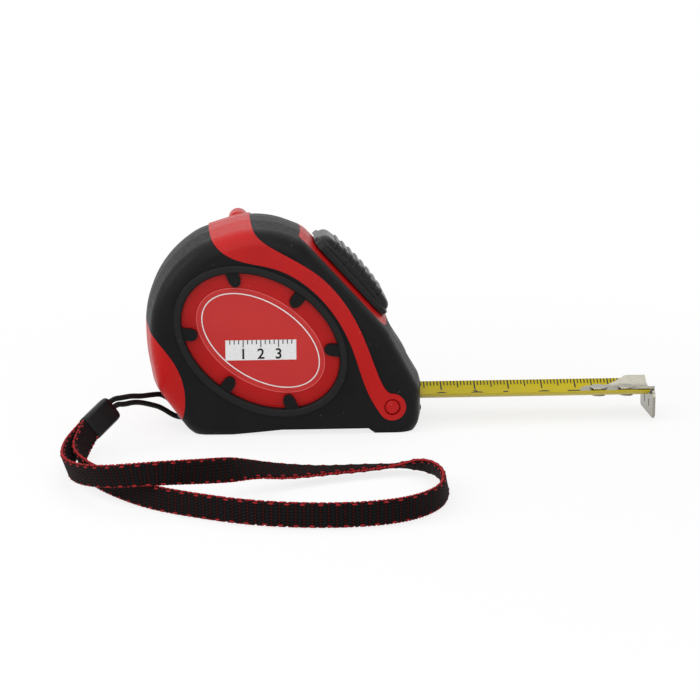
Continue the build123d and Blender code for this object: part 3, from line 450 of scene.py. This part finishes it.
def print_ink(name, colour):
    """Flat colour for print and for the painted highlight on the labels' edges, a little paler in places.
    """
    paint = Paint(name)
    paler = tuple(min(1.0, part * PRINT_GAIN + PRINT_HAZE) for part in colour)
    paint.colour(paint.tones(scale=2.0, pair=(colour, paler)))
    paint.rough(scale=1.0, low=0.42, high=0.52)
    paint.set(Specular_IOR_Level=0.25)
    return paint.material


def metal(name, tones, rough_low, rough_high, scale):
    """Bare metal that is a little uneven in tone and gloss."""
    paint = Paint(name)
    paint.set(Metallic=1.0)
    paint.colour(paint.tones(scale, tones))
    paint.rough(scale=scale * 3, low=rough_low, high=rough_high)
    paint.grain(scale=scale * 4, depth=0.01, strength=0.3)
    return paint.material


def tape_paint():
    """Yellow lacquer on the steel tape."""
    paint = Paint("tape_paint")
    paint.colour(paint.tones(scale=0.1, pair=TAPE_TONES))
    paint.rough(scale=0.7, low=0.30, high=0.40)
    paint.grain(scale=1.5, depth=0.01, strength=0.2)
    paint.set(Specular_IOR_Level=0.12)
    return paint.material


def drum_plastic():
    """Pale plastic of the drum and its lid."""
    paint = Paint("drum_plastic")
    paint.colour(paint.tones(scale=0.2, pair=DRUM_TONES))
    paint.rough(scale=0.8, low=0.45, high=0.55)
    return paint.material


def red_yarn():
    """Dull dyed thread."""
    paint = Paint("red_yarn")
    paint.colour(paint.tones(scale=1.8, pair=YARN_TONES))
    paint.rough(scale=3.0, low=0.65, high=0.85)
    paint.grain(scale=7.0, depth=0.06, strength=0.6)
    paint.set(Specular_IOR_Level=0.2)
    return paint.material


def from_row(paint, place, pitch, shift):
    """Millimetres from the nearest of a row of lines pitch apart; shift is a share of the pitch."""
    turn = paint.math("FRACT", paint.math("ADD", paint.math("DIVIDE", place, pitch), shift))
    return paint.math("MULTIPLY", paint.math("SUBTRACT", turn, 0.5), pitch)


def webbing_weave():
    """Flat weave: ribs across the strap, red picks in columns, and slanting paler bars between them, a
    painted highlight on the weave's slanting ribs.
    """
    paint = Paint("webbing_weave")
    strip = paint.axes(paint.node("ShaderNodeUVMap", uv_map=STRIP_MAP).outputs["UV"])
    along = strip["X"]
    across = strip["Y"]
    column = from_row(paint, along, WEAVE_COLUMN, shift=0.0)
    row = from_row(paint, across, WEAVE_ROW, shift=0.0)
    red = paint.spread(paint.length(column, row), low=0.85, high=0.0, start=0.17, stop=0.30)
    # Slanting paler bars between the red columns: a painted highlight on the weave's ribs
    middle = paint.math("ABSOLUTE", from_row(paint, along, WEAVE_COLUMN, shift=0.5))
    slanted = paint.math("ADD", across, paint.math("MULTIPLY", along, WEAVE_SLANT))
    bar = paint.math("ABSOLUTE", from_row(paint, slanted, WEAVE_ROW, shift=0.5))
    near_middle = paint.spread(middle, low=1.0, high=0.0, start=0.30, stop=0.48)
    near_bar = paint.spread(bar, low=1.0, high=0.0, start=0.12, stop=0.26)
    rib_highlight_mask = paint.math("MULTIPLY", near_middle, near_bar)
    highlighted_fibre = paint.blend(rib_highlight_mask, paint.tones(scale=3.0, pair=FIBRE_TONES), RIB_HIGHLIGHT)
    paint.colour(paint.blend(red, highlighted_fibre, RED_PICK))
    paint.rough(scale=2.0, low=0.72, high=0.88)
    rib = paint.math("COSINE", paint.math("MULTIPLY", along, 2 * math.pi / WEAVE_COLUMN))
    thread = paint.math("COSINE", paint.math("MULTIPLY", across, 2 * math.pi / WEAVE_ROW))
    paint.bump(paint.math("MULTIPLY", rib, thread), depth=0.12, strength=0.8)
    paint.set(Specular_IOR_Level=0.06)
    return paint.material


def cord_braid():
    """Dull black fibre of the braided cord."""
    paint = Paint("cord_braid")
    paint.colour(paint.tones(scale=2.5, pair=CORD_TONES))
    paint.rough(scale=2.0, low=0.6, high=0.8)
    paint.grain(scale=9.0, depth=0.05, strength=0.5)
    paint.set(Specular_IOR_Level=0.12)
    return paint.material


RED = red_plastic()
RUBBER = black_rubber()
BLACK = black_plastic("black_plastic", rough_low=0.32, rough_high=0.42, specular=0.16)
GLOSSY_BLACK = black_plastic("glossy_black_plastic", rough_low=0.26, rough_high=0.34, specular=0.24)
LABEL = label_film()
INK_BLACK = print_ink("ink_black", BLACK_PRINT)
INK_WHITE = print_ink("ink_white", WHITE_PRINT)
# Paint for the painted highlight on the labels' edges
EDGE_HIGHLIGHT_PAINT = print_ink("painted_edge_highlight", LABEL_EDGE_HIGHLIGHT)
NICKEL = metal("nickel", NICKEL_TONES, rough_low=0.22, rough_high=0.34, scale=1.2)
STEEL = metal("steel", STEEL_TONES, rough_low=0.28, rough_high=0.42, scale=0.8)
SPRING = metal("spring_steel", SPRING_TONES, rough_low=0.24, rough_high=0.32, scale=0.6)
DARK_STEEL = metal("dark_steel", DARK_STEEL_TONES, rough_low=0.30, rough_high=0.42, scale=0.8)
YELLOW = tape_paint()
DRUM = drum_plastic()
WEBBING = webbing_weave()
CORD = cord_braid()
RED_YARN = red_yarn()

NODE_MATERIALS = {
    "right_shell": RED,
    "left_shell": RED,
    "nose_caps": RED,
    "right_jacket": RUBBER,
    "left_jacket": RUBBER,
    "right_label": LABEL,
    "left_label": LABEL,
    "case_screws": STEEL,
    "reel_post": STEEL,
    "lanyard_pin": DARK_STEEL,
    "clip_screw": STEEL,
    "tape_drum": DRUM,
    "drum_lid": DRUM,
    "tape_coil": YELLOW,
    "tape_lead": YELLOW,
    "tape_blade": YELLOW,
    "mainspring": SPRING,
    "belt_clip": SPRING,
    "mouth_guide": BLACK,
    "lock_button": GLOSSY_BLACK,
    "brake_shoe": BLACK,
    "end_hook": NICKEL,
    "hook_rivets": NICKEL,
}

for node_name, node_material in NODE_MATERIALS.items():
    node_mesh = nodes[node_name].data
    node_mesh.materials.clear()
    node_mesh.materials.append(node_material)


# Mesh helpers

def add_object(name, data):
    """A new object in the scene."""
    made = bpy.data.objects.new(name, data)
    bpy.context.scene.collection.objects.link(made)
    return made


def mesh_object(name, vertices, faces, material, body, smooth=True):
    """A new piece that rides a body."""
    mesh = bpy.data.meshes.new(name)
    mesh.from_pydata(vertices, [], faces)
    mesh.materials.append(material)
    mesh.update()
    if smooth:
        mesh.shade_smooth()
    made = add_object(name, mesh)
    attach(made, body)
    return made


def nurbs_points(points, resolution):
    """Points on a smooth line that has these control points, all in metres."""
    data = bpy.data.curves.new("route", "CURVE")
    data.dimensions = "3D"
    spline = data.splines.new("NURBS")
    spline.points.add(len(points) - 1)
    for place, point in zip(spline.points, points):
        place.co = (*point, 1.0)
    spline.order_u = 3
    spline.use_endpoint_u = True
    spline.resolution_u = resolution
    made = add_object("route", data)
    line = bpy.data.meshes.new_from_object(made)
    found = [vertex.co.copy() for vertex in line.vertices]
    bpy.data.objects.remove(made)
    bpy.data.curves.remove(data)
    bpy.data.meshes.remove(line)
    return found


def square_to(direction, vector):
    """A vector turned square to a direction, with length one."""
    return (vector - direction * vector.dot(direction)).normalized()


def tangents(points):
    """The direction of a line at each of its points."""
    found = []
    last = len(points) - 1
    for index in range(len(points)):
        before = points[max(0, index - 1)]
        after = points[min(last, index + 1)]
        found.append((after - before).normalized())
    return found


def lengths(points):
    """Length along a line up to each of its points, in millimetres."""
    total = 0.0
    found = [0.0]
    for first, second in zip(points, points[1:]):
        total += (second - first).length / MM
        found.append(total)
    return found


def ring_faces(base, rings, count):
    """Faces between rings of count vertices; base is the number of the first vertex."""
    faces = []
    for ring in range(rings - 1):
        low = base + ring * count
        high = low + count
        for index in range(count):
            following = (index + 1) % count
            faces.append((low + index, low + following, high + following, high + index))
    return faces


def tube_faces(rings, count):
    """Faces between rings of count vertices, and one at each end."""
    last = (rings - 1) * count
    ends = [tuple(reversed(range(count))), tuple(range(last, last + count))]
    return ring_faces(0, rings, count) + ends


def swept(name, points, sides, sections, material, body):
    """A closed strip along points; a section holds millimetres along the side and along the normal."""
    vertices = []
    for point, direction, side, section in zip(points, tangents(points), sides, sections):
        across = square_to(direction, side)
        normal = direction.cross(across)
        for u, v in section:
            vertices.append(point + across * (u * MM) + normal * (v * MM))
    faces = tube_faces(len(points), len(sections[0]))
    made = mesh_object(name, vertices, faces, material, body)
    map_strip(made.data, sections[0], lengths(points))
    return made


def map_strip(mesh, section, distances):
    """Coordinates on a swept strip: millimetres along it and around its section."""
    count = len(section)
    around = [0.0]
    for index in range(count):
        first = Vector(section[index])
        second = Vector(section[(index + 1) % count])
        around.append(around[-1] + (second - first).length)
    layer = mesh.uv_layers.new(name=STRIP_MAP)
    for polygon in mesh.polygons:
        corners = [mesh.loops[loop].vertex_index for loop in polygon.loop_indices]
        closing = any(corner % count == count - 1 for corner in corners)
        for loop, corner in zip(polygon.loop_indices, corners):
            place = corner % count
            v = around[count] if closing and place == 0 else around[place]
            layer.data[loop].uv = (distances[corner // count], v)


# Wrist strap

sleeve_axis = (SLEEVE_HIGH - SLEEVE_LOW).normalized()
sleeve_side = square_to(sleeve_axis, SLEEVE_SIDE)
sleeve_back = sleeve_axis.cross(sleeve_side)
if sleeve_back.y < 0:
    sleeve_back = -sleeve_back

# Middle of the webbing and the way its first edge points
WEBBING_ROUTE = [
    (-87.9, -43.0, 5.5, -0.50, 0.0, 0.86),
    (-89.3, -52.0, 5.0, -0.38, 0.0, 0.92),
    (-89.2, -61.0, 4.9, -0.32, -0.10, 0.94),
    (-87.2, -69.5, 5.5, -0.25, -0.20, 0.95),
    (-83.0, -77.5, 6.7, -0.15, -0.30, 0.94),
    (-77.5, -84.0, 8.2, -0.05, -0.30, 0.95),
    (-70.0, -88.0, 9.7, 0.0, -0.20, 0.98),
    (-62.5, -88.5, 10.2, 0.0, -0.10, 1.0),
    (-55.0, -84.5, 9.2, 0.0, 0.0, 1.0),
    (-48.0, -78.5, 7.7, 0.0, 0.30, 0.95),
    (-41.0, -72.5, 6.2, -0.20, 0.84, 0.48),
    (-33.0, -67.5, 3.8, -0.10, 0.94, 0.34),
    (-22.0, -63.0, 2.5, 0.0, 1.0, 0.0),
    (-10.0, -59.0, 1.9, 0.0, 1.0, -0.10),
    (0.0, -57.2, 2.0, 0.0, 0.93, -0.35),
    (6.3, -61.5, 2.8, 0.45, 0.55, -0.70),
    (8.6, -71.0, 3.35, 0.35, 0.10, -0.93),
    (8.7, -81.0, 3.3, 0.15, 0.0, -1.0),
    (6.0, -91.5, 3.3, 0.0, 0.0, -1.0),
    (-1.5, -100.0, 3.3, 0.0, 0.0, -1.0),
    (-12.0, -104.0, 3.3, 0.0, 0.0, -1.0),
    (-26.0, -104.5, 3.3, 0.0, 0.0, -1.0),
    (-42.0, -101.0, 3.3, 0.0, 0.0, -1.0),
    (-56.0, -93.5, 3.3, 0.0, 0.0, -1.0),
    (-67.0, -86.0, 3.3, 0.0, 0.0, -1.0),
    (-76.0, -75.0, 3.3, 0.0, 0.0, -1.0),
    (-83.2, -64.0, 3.5, 0.10, 0.10, -1.0),
    (-86.6, -53.0, 4.2, 0.40, 0.0, -0.90),
    (-86.0, -44.0, 5.6, 0.55, 0.0, -0.83),
]

# Middle of the cord on its way to the pin and back
CORD_UPPER = [
    (-75.9, -20.0, 12.3),
    (-73.5, -15.0, 11.5),
    (-70.9, -10.0, 10.1),
    (-67.9, -4.8, 9.2),
    (-65.0, -0.9, 8.4),
]
CORD_LOWER = [
    (-65.5, -1.6, 4.6),
    (-68.3, -6.8, 6.8),
    (-70.9, -11.2, 8.6),
    (-73.1, -15.6, 9.8),
    (-75.3, -20.2, 10.4),
]


def webbing_frame():
    """Control points of the webbing's middle and the direction of its first edge at each."""
    layer = sleeve_back * (LAYER_STEP / 2)
    centres = [SLEEVE_LOW + layer]
    edges = [sleeve_side]
    for x, y, z, edge_x, edge_y, edge_z in WEBBING_ROUTE:
        centres.append(Vector((x, y, z)))
        edges.append(Vector((edge_x, edge_y, edge_z)))
    centres.append(SLEEVE_LOW - layer)
    edges.append(-sleeve_side)
    sides = [square_to(along, edge) for along, edge in zip(tangents(centres), edges)]
    return centres, sides


def rounded_strip(width, thick):
    """Section of a flat strip with round edges, as offsets across and out of it."""
    half = width / 2 - thick / 2
    radius = thick / 2
    section = []
    for sign, edge_turn in ((1, 180), (-1, 0)):
        for index in range(STRIP_STEPS + 1):
            section.append((sign * (half - 2 * half * index / STRIP_STEPS), sign * radius))
        for turn in STRIP_EDGE_TURNS:
            angle = math.radians(edge_turn + turn)
            section.append((-sign * half + radius * math.cos(angle), radius * math.sin(angle)))
    return section


def build_webbing():
    """The woven strip with its scalloped edges, and the red thread on it."""
    centres, edges = webbing_frame()
    middle = nurbs_points([centre * MM for centre in centres], WEBBING_STEPS)
    edge_controls = [(centre + edge * WEBBING_WIDTH / 2) * MM for centre, edge in zip(centres, edges)]
    edge_line = nurbs_points(edge_controls, WEBBING_STEPS)
    along = tangents(middle)
    sides = []
    for top, centre, direction in zip(edge_line, middle, along):
        sides.append(square_to(direction, top - centre))
    sections = []
    for distance in lengths(middle):
        swell = SCALLOP_DEPTH * math.cos(2 * math.pi * distance / SCALLOP_PITCH)
        sections.append(rounded_strip(WEBBING_WIDTH + 2 * swell, WEBBING_THICK))
    webbing = swept("webbing", middle, sides, sections, WEBBING, "case")
    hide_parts("strap_webbing")
    dashes = build_dashes(middle, along, sides)
    ropes = build_ropes(middle, along, sides)


def places_along(points, pitch, start):
    """Numbers of the first points at or past equal steps along a line."""
    found = []
    target = start
    for index, distance in enumerate(lengths(points)):
        if distance >= target:
            found.append(index)
            target += pitch
    return found


def build_dashes(middle, along, sides):
    """Red picks that show as short dashes near both edges, on both faces, half a pitch apart."""
    vertices = []
    faces = []
    for sign, start in ((-1, DASH_START), (1, DASH_START + DASH_PITCH / 2)):
        for index in places_along(middle, DASH_PITCH, start):
            side = sides[index]
            normal = along[index].cross(side)
            for face in (-1, 1):
                centre = middle[index] + side * (sign * (WEBBING_WIDTH / 2 - DASH_INSET) * MM)
                centre += normal * (face * (WEBBING_THICK / 2 - DASH_SINK) * MM)
                add_bead(vertices, faces, centre, along[index], side, normal, DASH_HALF)
    made = mesh_object("webbing_dashes", vertices, faces, RED_YARN, "case")
    return made


def build_ropes(middle, along, sides):
    """Twisted red thread in the thickness of both edges."""
    vertices = []
    faces = []
    slant = math.radians(ROPE_SLANT)
    for sign in (-1, 1):
        for index in places_along(middle, ROPE_PITCH, ROPE_START):
            side = sides[index]
            normal = along[index].cross(side)
            lay = along[index] * math.cos(slant) + normal * math.sin(slant)
            rise = normal * math.cos(slant) - along[index] * math.sin(slant)
            centre = middle[index] + side * (sign * (WEBBING_WIDTH / 2 - ROPE_SINK) * MM)
            add_bead(vertices, faces, centre, lay, side, rise, ROPE_HALF)
    made = mesh_object("webbing_edge_ropes", vertices, faces, RED_YARN, "case")
    return made


def add_bead(vertices, faces, centre, along, side, normal, half):
    """Adds one rounded bead of thread; half holds its half sizes in millimetres."""
    faces += ring_faces(len(vertices), BEAD_RINGS + 1, BEAD_SIDES)
    for ring in range(BEAD_RINGS + 1):
        turn = math.pi * ring / BEAD_RINGS
        for index in range(BEAD_SIDES):
            angle = 2 * math.pi * index / BEAD_SIDES
            offset = along * (-half[0] * math.cos(turn))
            offset += side * (half[1] * math.sin(turn) * math.cos(angle))
            offset += normal * (half[2] * math.sin(turn) * math.sin(angle))
            vertices.append(centre + offset * MM)


def cord_controls():
    """Control points of the cord: out of the sleeve, round the pin and back."""
    upper = SLEEVE_HIGH + sleeve_side * (STRAND_RAISE + STRAND_STEP / 2)
    lower = SLEEVE_HIGH + sleeve_side * (STRAND_RAISE - STRAND_STEP / 2)
    points = [upper, upper + sleeve_axis * CORD_LEAVE]
    points += [Vector(point) for point in CORD_UPPER]
    points.append(PIN + Vector((-PIN_LEAVE, 0, PIN_TURN)))
    points.append(PIN + Vector((PIN_TURN, 0, PIN_TURN)))
    points.append(PIN + Vector((PIN_TURN, 0, -PIN_TURN)))
    points.append(PIN + Vector((-PIN_LEAVE, 0, -PIN_TURN)))
    points += [Vector(point) for point in CORD_LOWER]
    points += [lower + sleeve_axis * CORD_LEAVE, lower]
    return points


def braid_section(distance):
    """Section of the braid at a distance along it: crowns where strands of both slants pass."""
    radius = CORD_DIAMETER / 2
    lay = 2 * math.pi * distance / BRAID_PITCH
    section = []
    for index in range(BRAID_STEPS):
        angle = 2 * math.pi * index / BRAID_STEPS
        wind = BRAID_STRANDS / 2 * angle
        crown = max(abs(math.cos((wind + lay) / 2)), abs(math.cos((wind - lay) / 2)))
        reach = radius * (BRAID_VALLEY + BRAID_RISE * crown)
        section.append((reach * math.cos(angle), reach * math.sin(angle)))
    return section


def build_cord():
    """The braided cord from the sleeve to the pin and back."""
    controls = [point * MM for point in cord_controls()]
    middle = nurbs_points(controls, CORD_STEPS)
    sections = [braid_section(distance) for distance in lengths(middle)]
    sides = []
    side = sleeve_side
    for direction in tangents(middle):
        side = square_to(direction, side)
        sides.append(side)
    cord = swept("wrist_cord", middle, sides, sections, CORD, "case")
    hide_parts("strap_cord")


def sleeve_outline():
    """Outline of the sleeve's section, as offsets along its side and its back."""
    half_width = SLEEVE_WIDTH / 2 - SLEEVE_CORNER
    half_thick = SLEEVE_THICK / 2 - SLEEVE_CORNER
    outline = []
    for start, sign_x, sign_y in ((0, 1, 1), (90, -1, 1), (180, -1, -1), (270, 1, -1)):
        for step in range(CORNER_STEPS + 1):
            angle = math.radians(start + 90 * step / CORNER_STEPS)
            x = sign_x * half_width + SLEEVE_CORNER * math.cos(angle)
            y = sign_y * half_thick + SLEEVE_CORNER * math.sin(angle)
            outline.append((x, y))
    return outline


def drawn_in(value, amount):
    """A value moved towards zero by an amount, and not past it."""
    return value - math.copysign(min(abs(value), amount), value)


def build_sleeve():
    """Flat sleeve with rounded edges, slightly drawn-in ends and a sunk mouth at each end."""
    length = (SLEEVE_HIGH - SLEEVE_LOW).length
    # Place along the sleeve and share of the width there
    stations = [
        (0.5, 0.72),
        (0.05, 0.78),
        (0.0, 0.84),
        (0.05, 0.92),
        (0.35, 0.98),
        (1.2, 1.0),
        (length - 1.6, 1.0),
        (length - 0.5, 0.97),
        (length - 0.1, 0.91),
        (length, 0.82),
        (length - 0.05, 0.76),
        (length - 0.5, 0.70),
    ]
    outline = sleeve_outline()
    vertices = []
    for place, share in stations:
        point = SLEEVE_LOW + sleeve_axis * place
        amount = SLEEVE_WIDTH / 2 * (1 - share)
        for x, y in outline:
            offset_x = sleeve_side * drawn_in(x, amount)
            offset_y = sleeve_back * drawn_in(y, amount)
            vertices.append((point + offset_x + offset_y) * MM)
    faces = tube_faces(len(stations), len(outline))
    sleeve = mesh_object("strap_sleeve_piece", vertices, faces, BLACK, "case")
    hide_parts("strap_sleeve")
    return sleeve


# Print on the tape

def on_tape(x, inward):
    """A point on the tape's upper face, inward millimetres along the curve from its far edge."""
    radius = TROUGH_RADIUS - PRINT_LIFT
    half_angle = TAPE_WIDTH / TROUGH_RADIUS / 2
    axis_z = TAPE_EDGE_Z + TROUGH_RADIUS * math.cos(half_angle)
    angle = half_angle - inward / TROUGH_RADIUS
    return Vector((x, radius * math.sin(angle), axis_z - radius * math.cos(angle))) * MM


def build_ticks():
    """One tick a millimetre along the tape's far edge."""
    vertices = []
    faces = []
    for distance in range(FIRST_TICK, int(SCALE_ZERO_X - BLADE_START_X)):
        length, width = next(size for every, size in TICK_SIZES if distance % every == 0)
        x = SCALE_ZERO_X - distance
        base = len(vertices)
        for step in range(TICK_STEPS + 1):
            inward = TICK_INSET + (length - TICK_INSET) * step / TICK_STEPS
            vertices.append(on_tape(x - width / 2, inward))
            vertices.append(on_tape(x + width / 2, inward))
        for step in range(TICK_STEPS):
            low = base + 2 * step
            faces.append((low, low + 1, low + 3, low + 2))
    ticks = mesh_object("tape_ticks", vertices, faces, INK_BLACK, "blade")


def text_mesh(text, size, bold):
    """Flat mesh of a word, centred on x and standing on y = 0."""
    data = bpy.data.curves.new("word", "FONT")
    data.body = text
    data.size = size
    data.offset = bold
    data.align_x = "CENTER"
    data.resolution_u = LETTER_STEPS
    made = add_object("word", data)
    mesh = bpy.data.meshes.new_from_object(made)
    bpy.data.objects.remove(made)
    bpy.data.curves.remove(data)
    return mesh


def cut_in_bands(part, step):
    """Cuts a flat mesh along lines of equal height, so that it can follow a curve."""
    top = max(vertex.co.y for vertex in part.verts)
    height = step
    while height < top:
        geometry = part.verts[:] + part.edges[:] + part.faces[:]
        bmesh.ops.bisect_plane(part, geom=geometry, plane_co=(0, height, 0), plane_no=(0, 1, 0))
        height += step


def build_numbers():
    """The number of each centimetre that lies on the blade with its whole width."""
    vertices = []
    faces = []
    last = int((SCALE_ZERO_X - BLADE_START_X - NUMBER_HALF) / CENTIMETRE)
    for number in range(1, last + 1):
        mesh = text_mesh(str(number), NUMBER_SIZE, NUMBER_BOLD)
        part = bmesh.new()
        part.from_mesh(mesh)
        bpy.data.meshes.remove(mesh)
        cut_in_bands(part, NUMBER_BAND)
        part.verts.index_update()
        x = SCALE_ZERO_X - CENTIMETRE * number
        base = len(vertices)
        for vertex in part.verts:
            vertices.append(on_tape(x - vertex.co.x, NUMBER_START + vertex.co.y))
        for face in part.faces:
            faces.append(tuple(base + corner.index for corner in face.verts))
        part.free()
    numbers = mesh_object("tape_numbers", vertices, faces, INK_BLACK, "blade", smooth=False)


def build_pointer():
    """Small triangle under the tick of the fifth centimetre."""
    x = SCALE_ZERO_X - POINTER_PLACE
    corners = [
        on_tape(x, POINTER_TIP),
        on_tape(x - POINTER_HALF, POINTER_FOOT),
        on_tape(x + POINTER_HALF, POINTER_FOOT),
    ]
    pointer = mesh_object("tape_pointer", corners, [(0, 1, 2)], INK_BLACK, "blade", smooth=False)


# Print on the labels, and a painted highlight on their edges

def on_label(sign, x, z, lift):
    """A point above a label, x and z in millimetres from its middle as read from outside."""
    return Vector((PANEL_X - sign * x, sign * (LABEL_Y + lift), PANEL_Z + z)) * MM


def label_mesh(name, sign, corners, faces, lift, material):
    """Flat marks on the label of one side, for print and for the painted edge highlight; sign is -1 for
    the right side and 1 for the left.
    """
    vertices = [on_label(sign, x, z, lift) for x, z in corners]
    if sign > 0:
        faces = [tuple(reversed(face)) for face in faces]
    made = mesh_object(name, vertices, faces, material, "case", smooth=False)


def bars(rows):
    """Corners and faces of upright bars, each given as left, bottom, right and top."""
    corners = []
    faces = []
    for left, bottom, right, top in rows:
        base = len(corners)
        corners += [(left, bottom), (right, bottom), (right, top), (left, top)]
        faces.append((base, base + 1, base + 2, base + 3))
    return corners, faces


def oval_ring(sign, inset, width):
    """Corners and faces of a thin ring inside the label's edge."""
    tilt = math.radians(PANEL_TILT) * -sign
    corners = []
    for step in range(LINE_STEPS):
        angle = 2 * math.pi * step / LINE_STEPS
        for out in (inset, inset + width):
            long_part = (LABEL_LONG - out) * math.cos(angle)
            short_part = (LABEL_SHORT - out) * math.sin(angle)
            x = long_part * math.cos(tilt) - short_part * math.sin(tilt)
            z = long_part * math.sin(tilt) + short_part * math.cos(tilt)
            corners.append((x, z))
    faces = []
    for step in range(LINE_STEPS):
        low = 2 * step
        high = (low + 2) % (2 * LINE_STEPS)
        faces.append((low, high, high + 1, low + 1))
    return corners, faces


def build_label_lines(sign, name):
    """A pale line on the label's edge, a painted highlight of its rim, and a white printed one inside it.
    """
    label_mesh(name + "_edge", sign, *oval_ring(sign, *EDGE_HIGHLIGHT_LINE), PRINT_LIFT, EDGE_HIGHLIGHT_PAINT)
    label_mesh(name + "_line", sign, *oval_ring(sign, *INNER_LINE), PRINT_LIFT, INK_WHITE)


def build_label_scale(sign, name):
    """A white strip with ticks, and a number at each whole unit between its ends."""
    bottom = SCALE_TOP - SCALE_HEIGHT
    strip = bars([(-SCALE_HALF, bottom, SCALE_HALF, SCALE_TOP)])
    label_mesh(name + "_scale", sign, *strip, PRINT_LIFT, INK_WHITE)
    rows = []
    parts = SCALE_UNITS * UNIT_PARTS
    for index in range(1, parts):
        x = -SCALE_HALF + 2 * SCALE_HALF * index / parts
        reach = UNIT_TICK if index % UNIT_PARTS == 0 else PART_TICK
        rows.append((x - SCALE_TICK_HALF, SCALE_TOP - reach, x + SCALE_TICK_HALF, SCALE_TOP))
    label_mesh(name + "_ticks", sign, *bars(rows), 2 * PRINT_LIFT, INK_BLACK)
    corners = []
    faces = []
    foot = bottom + SCALE_NUMBER_RAISE
    for number in range(1, SCALE_UNITS):
        mesh = text_mesh(str(number), SCALE_NUMBER_SIZE, SCALE_NUMBER_BOLD)
        base = len(corners)
        middle = -SCALE_HALF + 2 * SCALE_HALF * number / SCALE_UNITS
        corners += [(middle + vertex.co.x, foot + vertex.co.y) for vertex in mesh.vertices]
        faces += [tuple(base + corner for corner in polygon.vertices) for polygon in mesh.polygons]
        bpy.data.meshes.remove(mesh)
    label_mesh(name + "_numbers", sign, corners, faces, 2 * PRINT_LIFT, INK_BLACK)


# Stage, light and camera

def build_floor():
    """White floor that takes a soft shadow near the object."""
    mesh = bpy.data.meshes.new("floor")
    corners = [(x * FLOOR_HALF, y * FLOOR_HALF, 0) for x, y in ((-1, -1), (1, -1), (1, 1), (-1, 1))]
    mesh.from_pydata(corners, [], [(0, 1, 2, 3)])
    material = bpy.data.materials.new("floor")
    net = Nodes(material)
    net.tree.nodes.clear()
    diffuse = net.node("ShaderNodeBsdfDiffuse")
    diffuse.inputs["Color"].default_value = FLOOR_TONE
    glow = net.node("ShaderNodeEmission")
    glow.inputs["Color"].default_value = WHITE
    glow.inputs["Strength"].default_value = 1.0
    away = net.node("ShaderNodeVectorMath", operation="DISTANCE")
    away.inputs[1].default_value = FLOOR_MIDDLE
    net.link(net.object_place(), away.inputs[0])
    share = net.spread(away.outputs["Value"], FLOOR_GLOW, 1.0, FLOOR_NEAR, FLOOR_FAR)
    seen = net.math("MULTIPLY", net.white_rays(), share)
    net.end_in_mix("ShaderNodeOutputMaterial", seen, diffuse.outputs["BSDF"], glow.outputs["Emission"])
    mesh.materials.append(material)
    floor = add_object("floor", mesh)
    floor.location.z = -FLOOR_DROP


def build_world():
    """Even light from all round, and plain white where the background shows."""
    world = bpy.data.worlds.new("studio")
    bpy.context.scene.world = world
    net = Nodes(world)
    net.tree.nodes.clear()
    shaders = []
    for strength in (WORLD_LIGHT, 1.0):
        background = net.node("ShaderNodeBackground")
        background.inputs["Color"].default_value = WHITE
        background.inputs["Strength"].default_value = strength
        shaders.append(background.outputs["Background"])
    net.end_in_mix("ShaderNodeOutputWorld", net.white_rays(), *shaders)


def build_lights():
    """Soft lamps, all turned to the object."""
    for name, place, sides, power in LAMPS:
        data = bpy.data.lights.new(name, "AREA")
        data.shape = "RECTANGLE"
        data.size = sides[0]
        data.size_y = sides[1]
        data.energy = power
        lamp = add_object(name, data)
        lamp.location = place
        lamp.rotation_euler = (LAMP_AIM - Vector(place)).to_track_quat("-Z", "Y").to_euler()


def build_camera():
    """Camera at the photograph's place, turned to the aim point."""
    azimuth = math.radians(CAMERA_AZIMUTH)
    elevation = math.radians(CAMERA_ELEVATION)
    back = Vector((
        math.sin(azimuth) * math.cos(elevation),
        -math.cos(azimuth) * math.cos(elevation),
        math.sin(elevation),
    ))
    data = bpy.data.cameras.new("camera")
    data.sensor_width = SENSOR_WIDTH
    data.lens = CAMERA_FOCAL * SENSOR_WIDTH
    data.clip_start = CLIP_START
    camera = add_object("camera", data)
    camera.location = CAMERA_AIM + back * CAMERA_DISTANCE
    camera.rotation_euler = (-back).to_track_quat("-Z", "Y").to_euler()
    bpy.context.scene.camera = camera


bpy.context.scene.view_settings.view_transform = "Standard"
build_camera()
build_world()
build_floor()
build_lights()
build_cord()
strap_sleeve = build_sleeve()
build_webbing()
build_ticks()
build_numbers()
build_pointer()
build_label_lines(-1, "right_label_marks")
build_label_scale(-1, "right_label_marks")
build_label_lines(1, "left_label_marks")
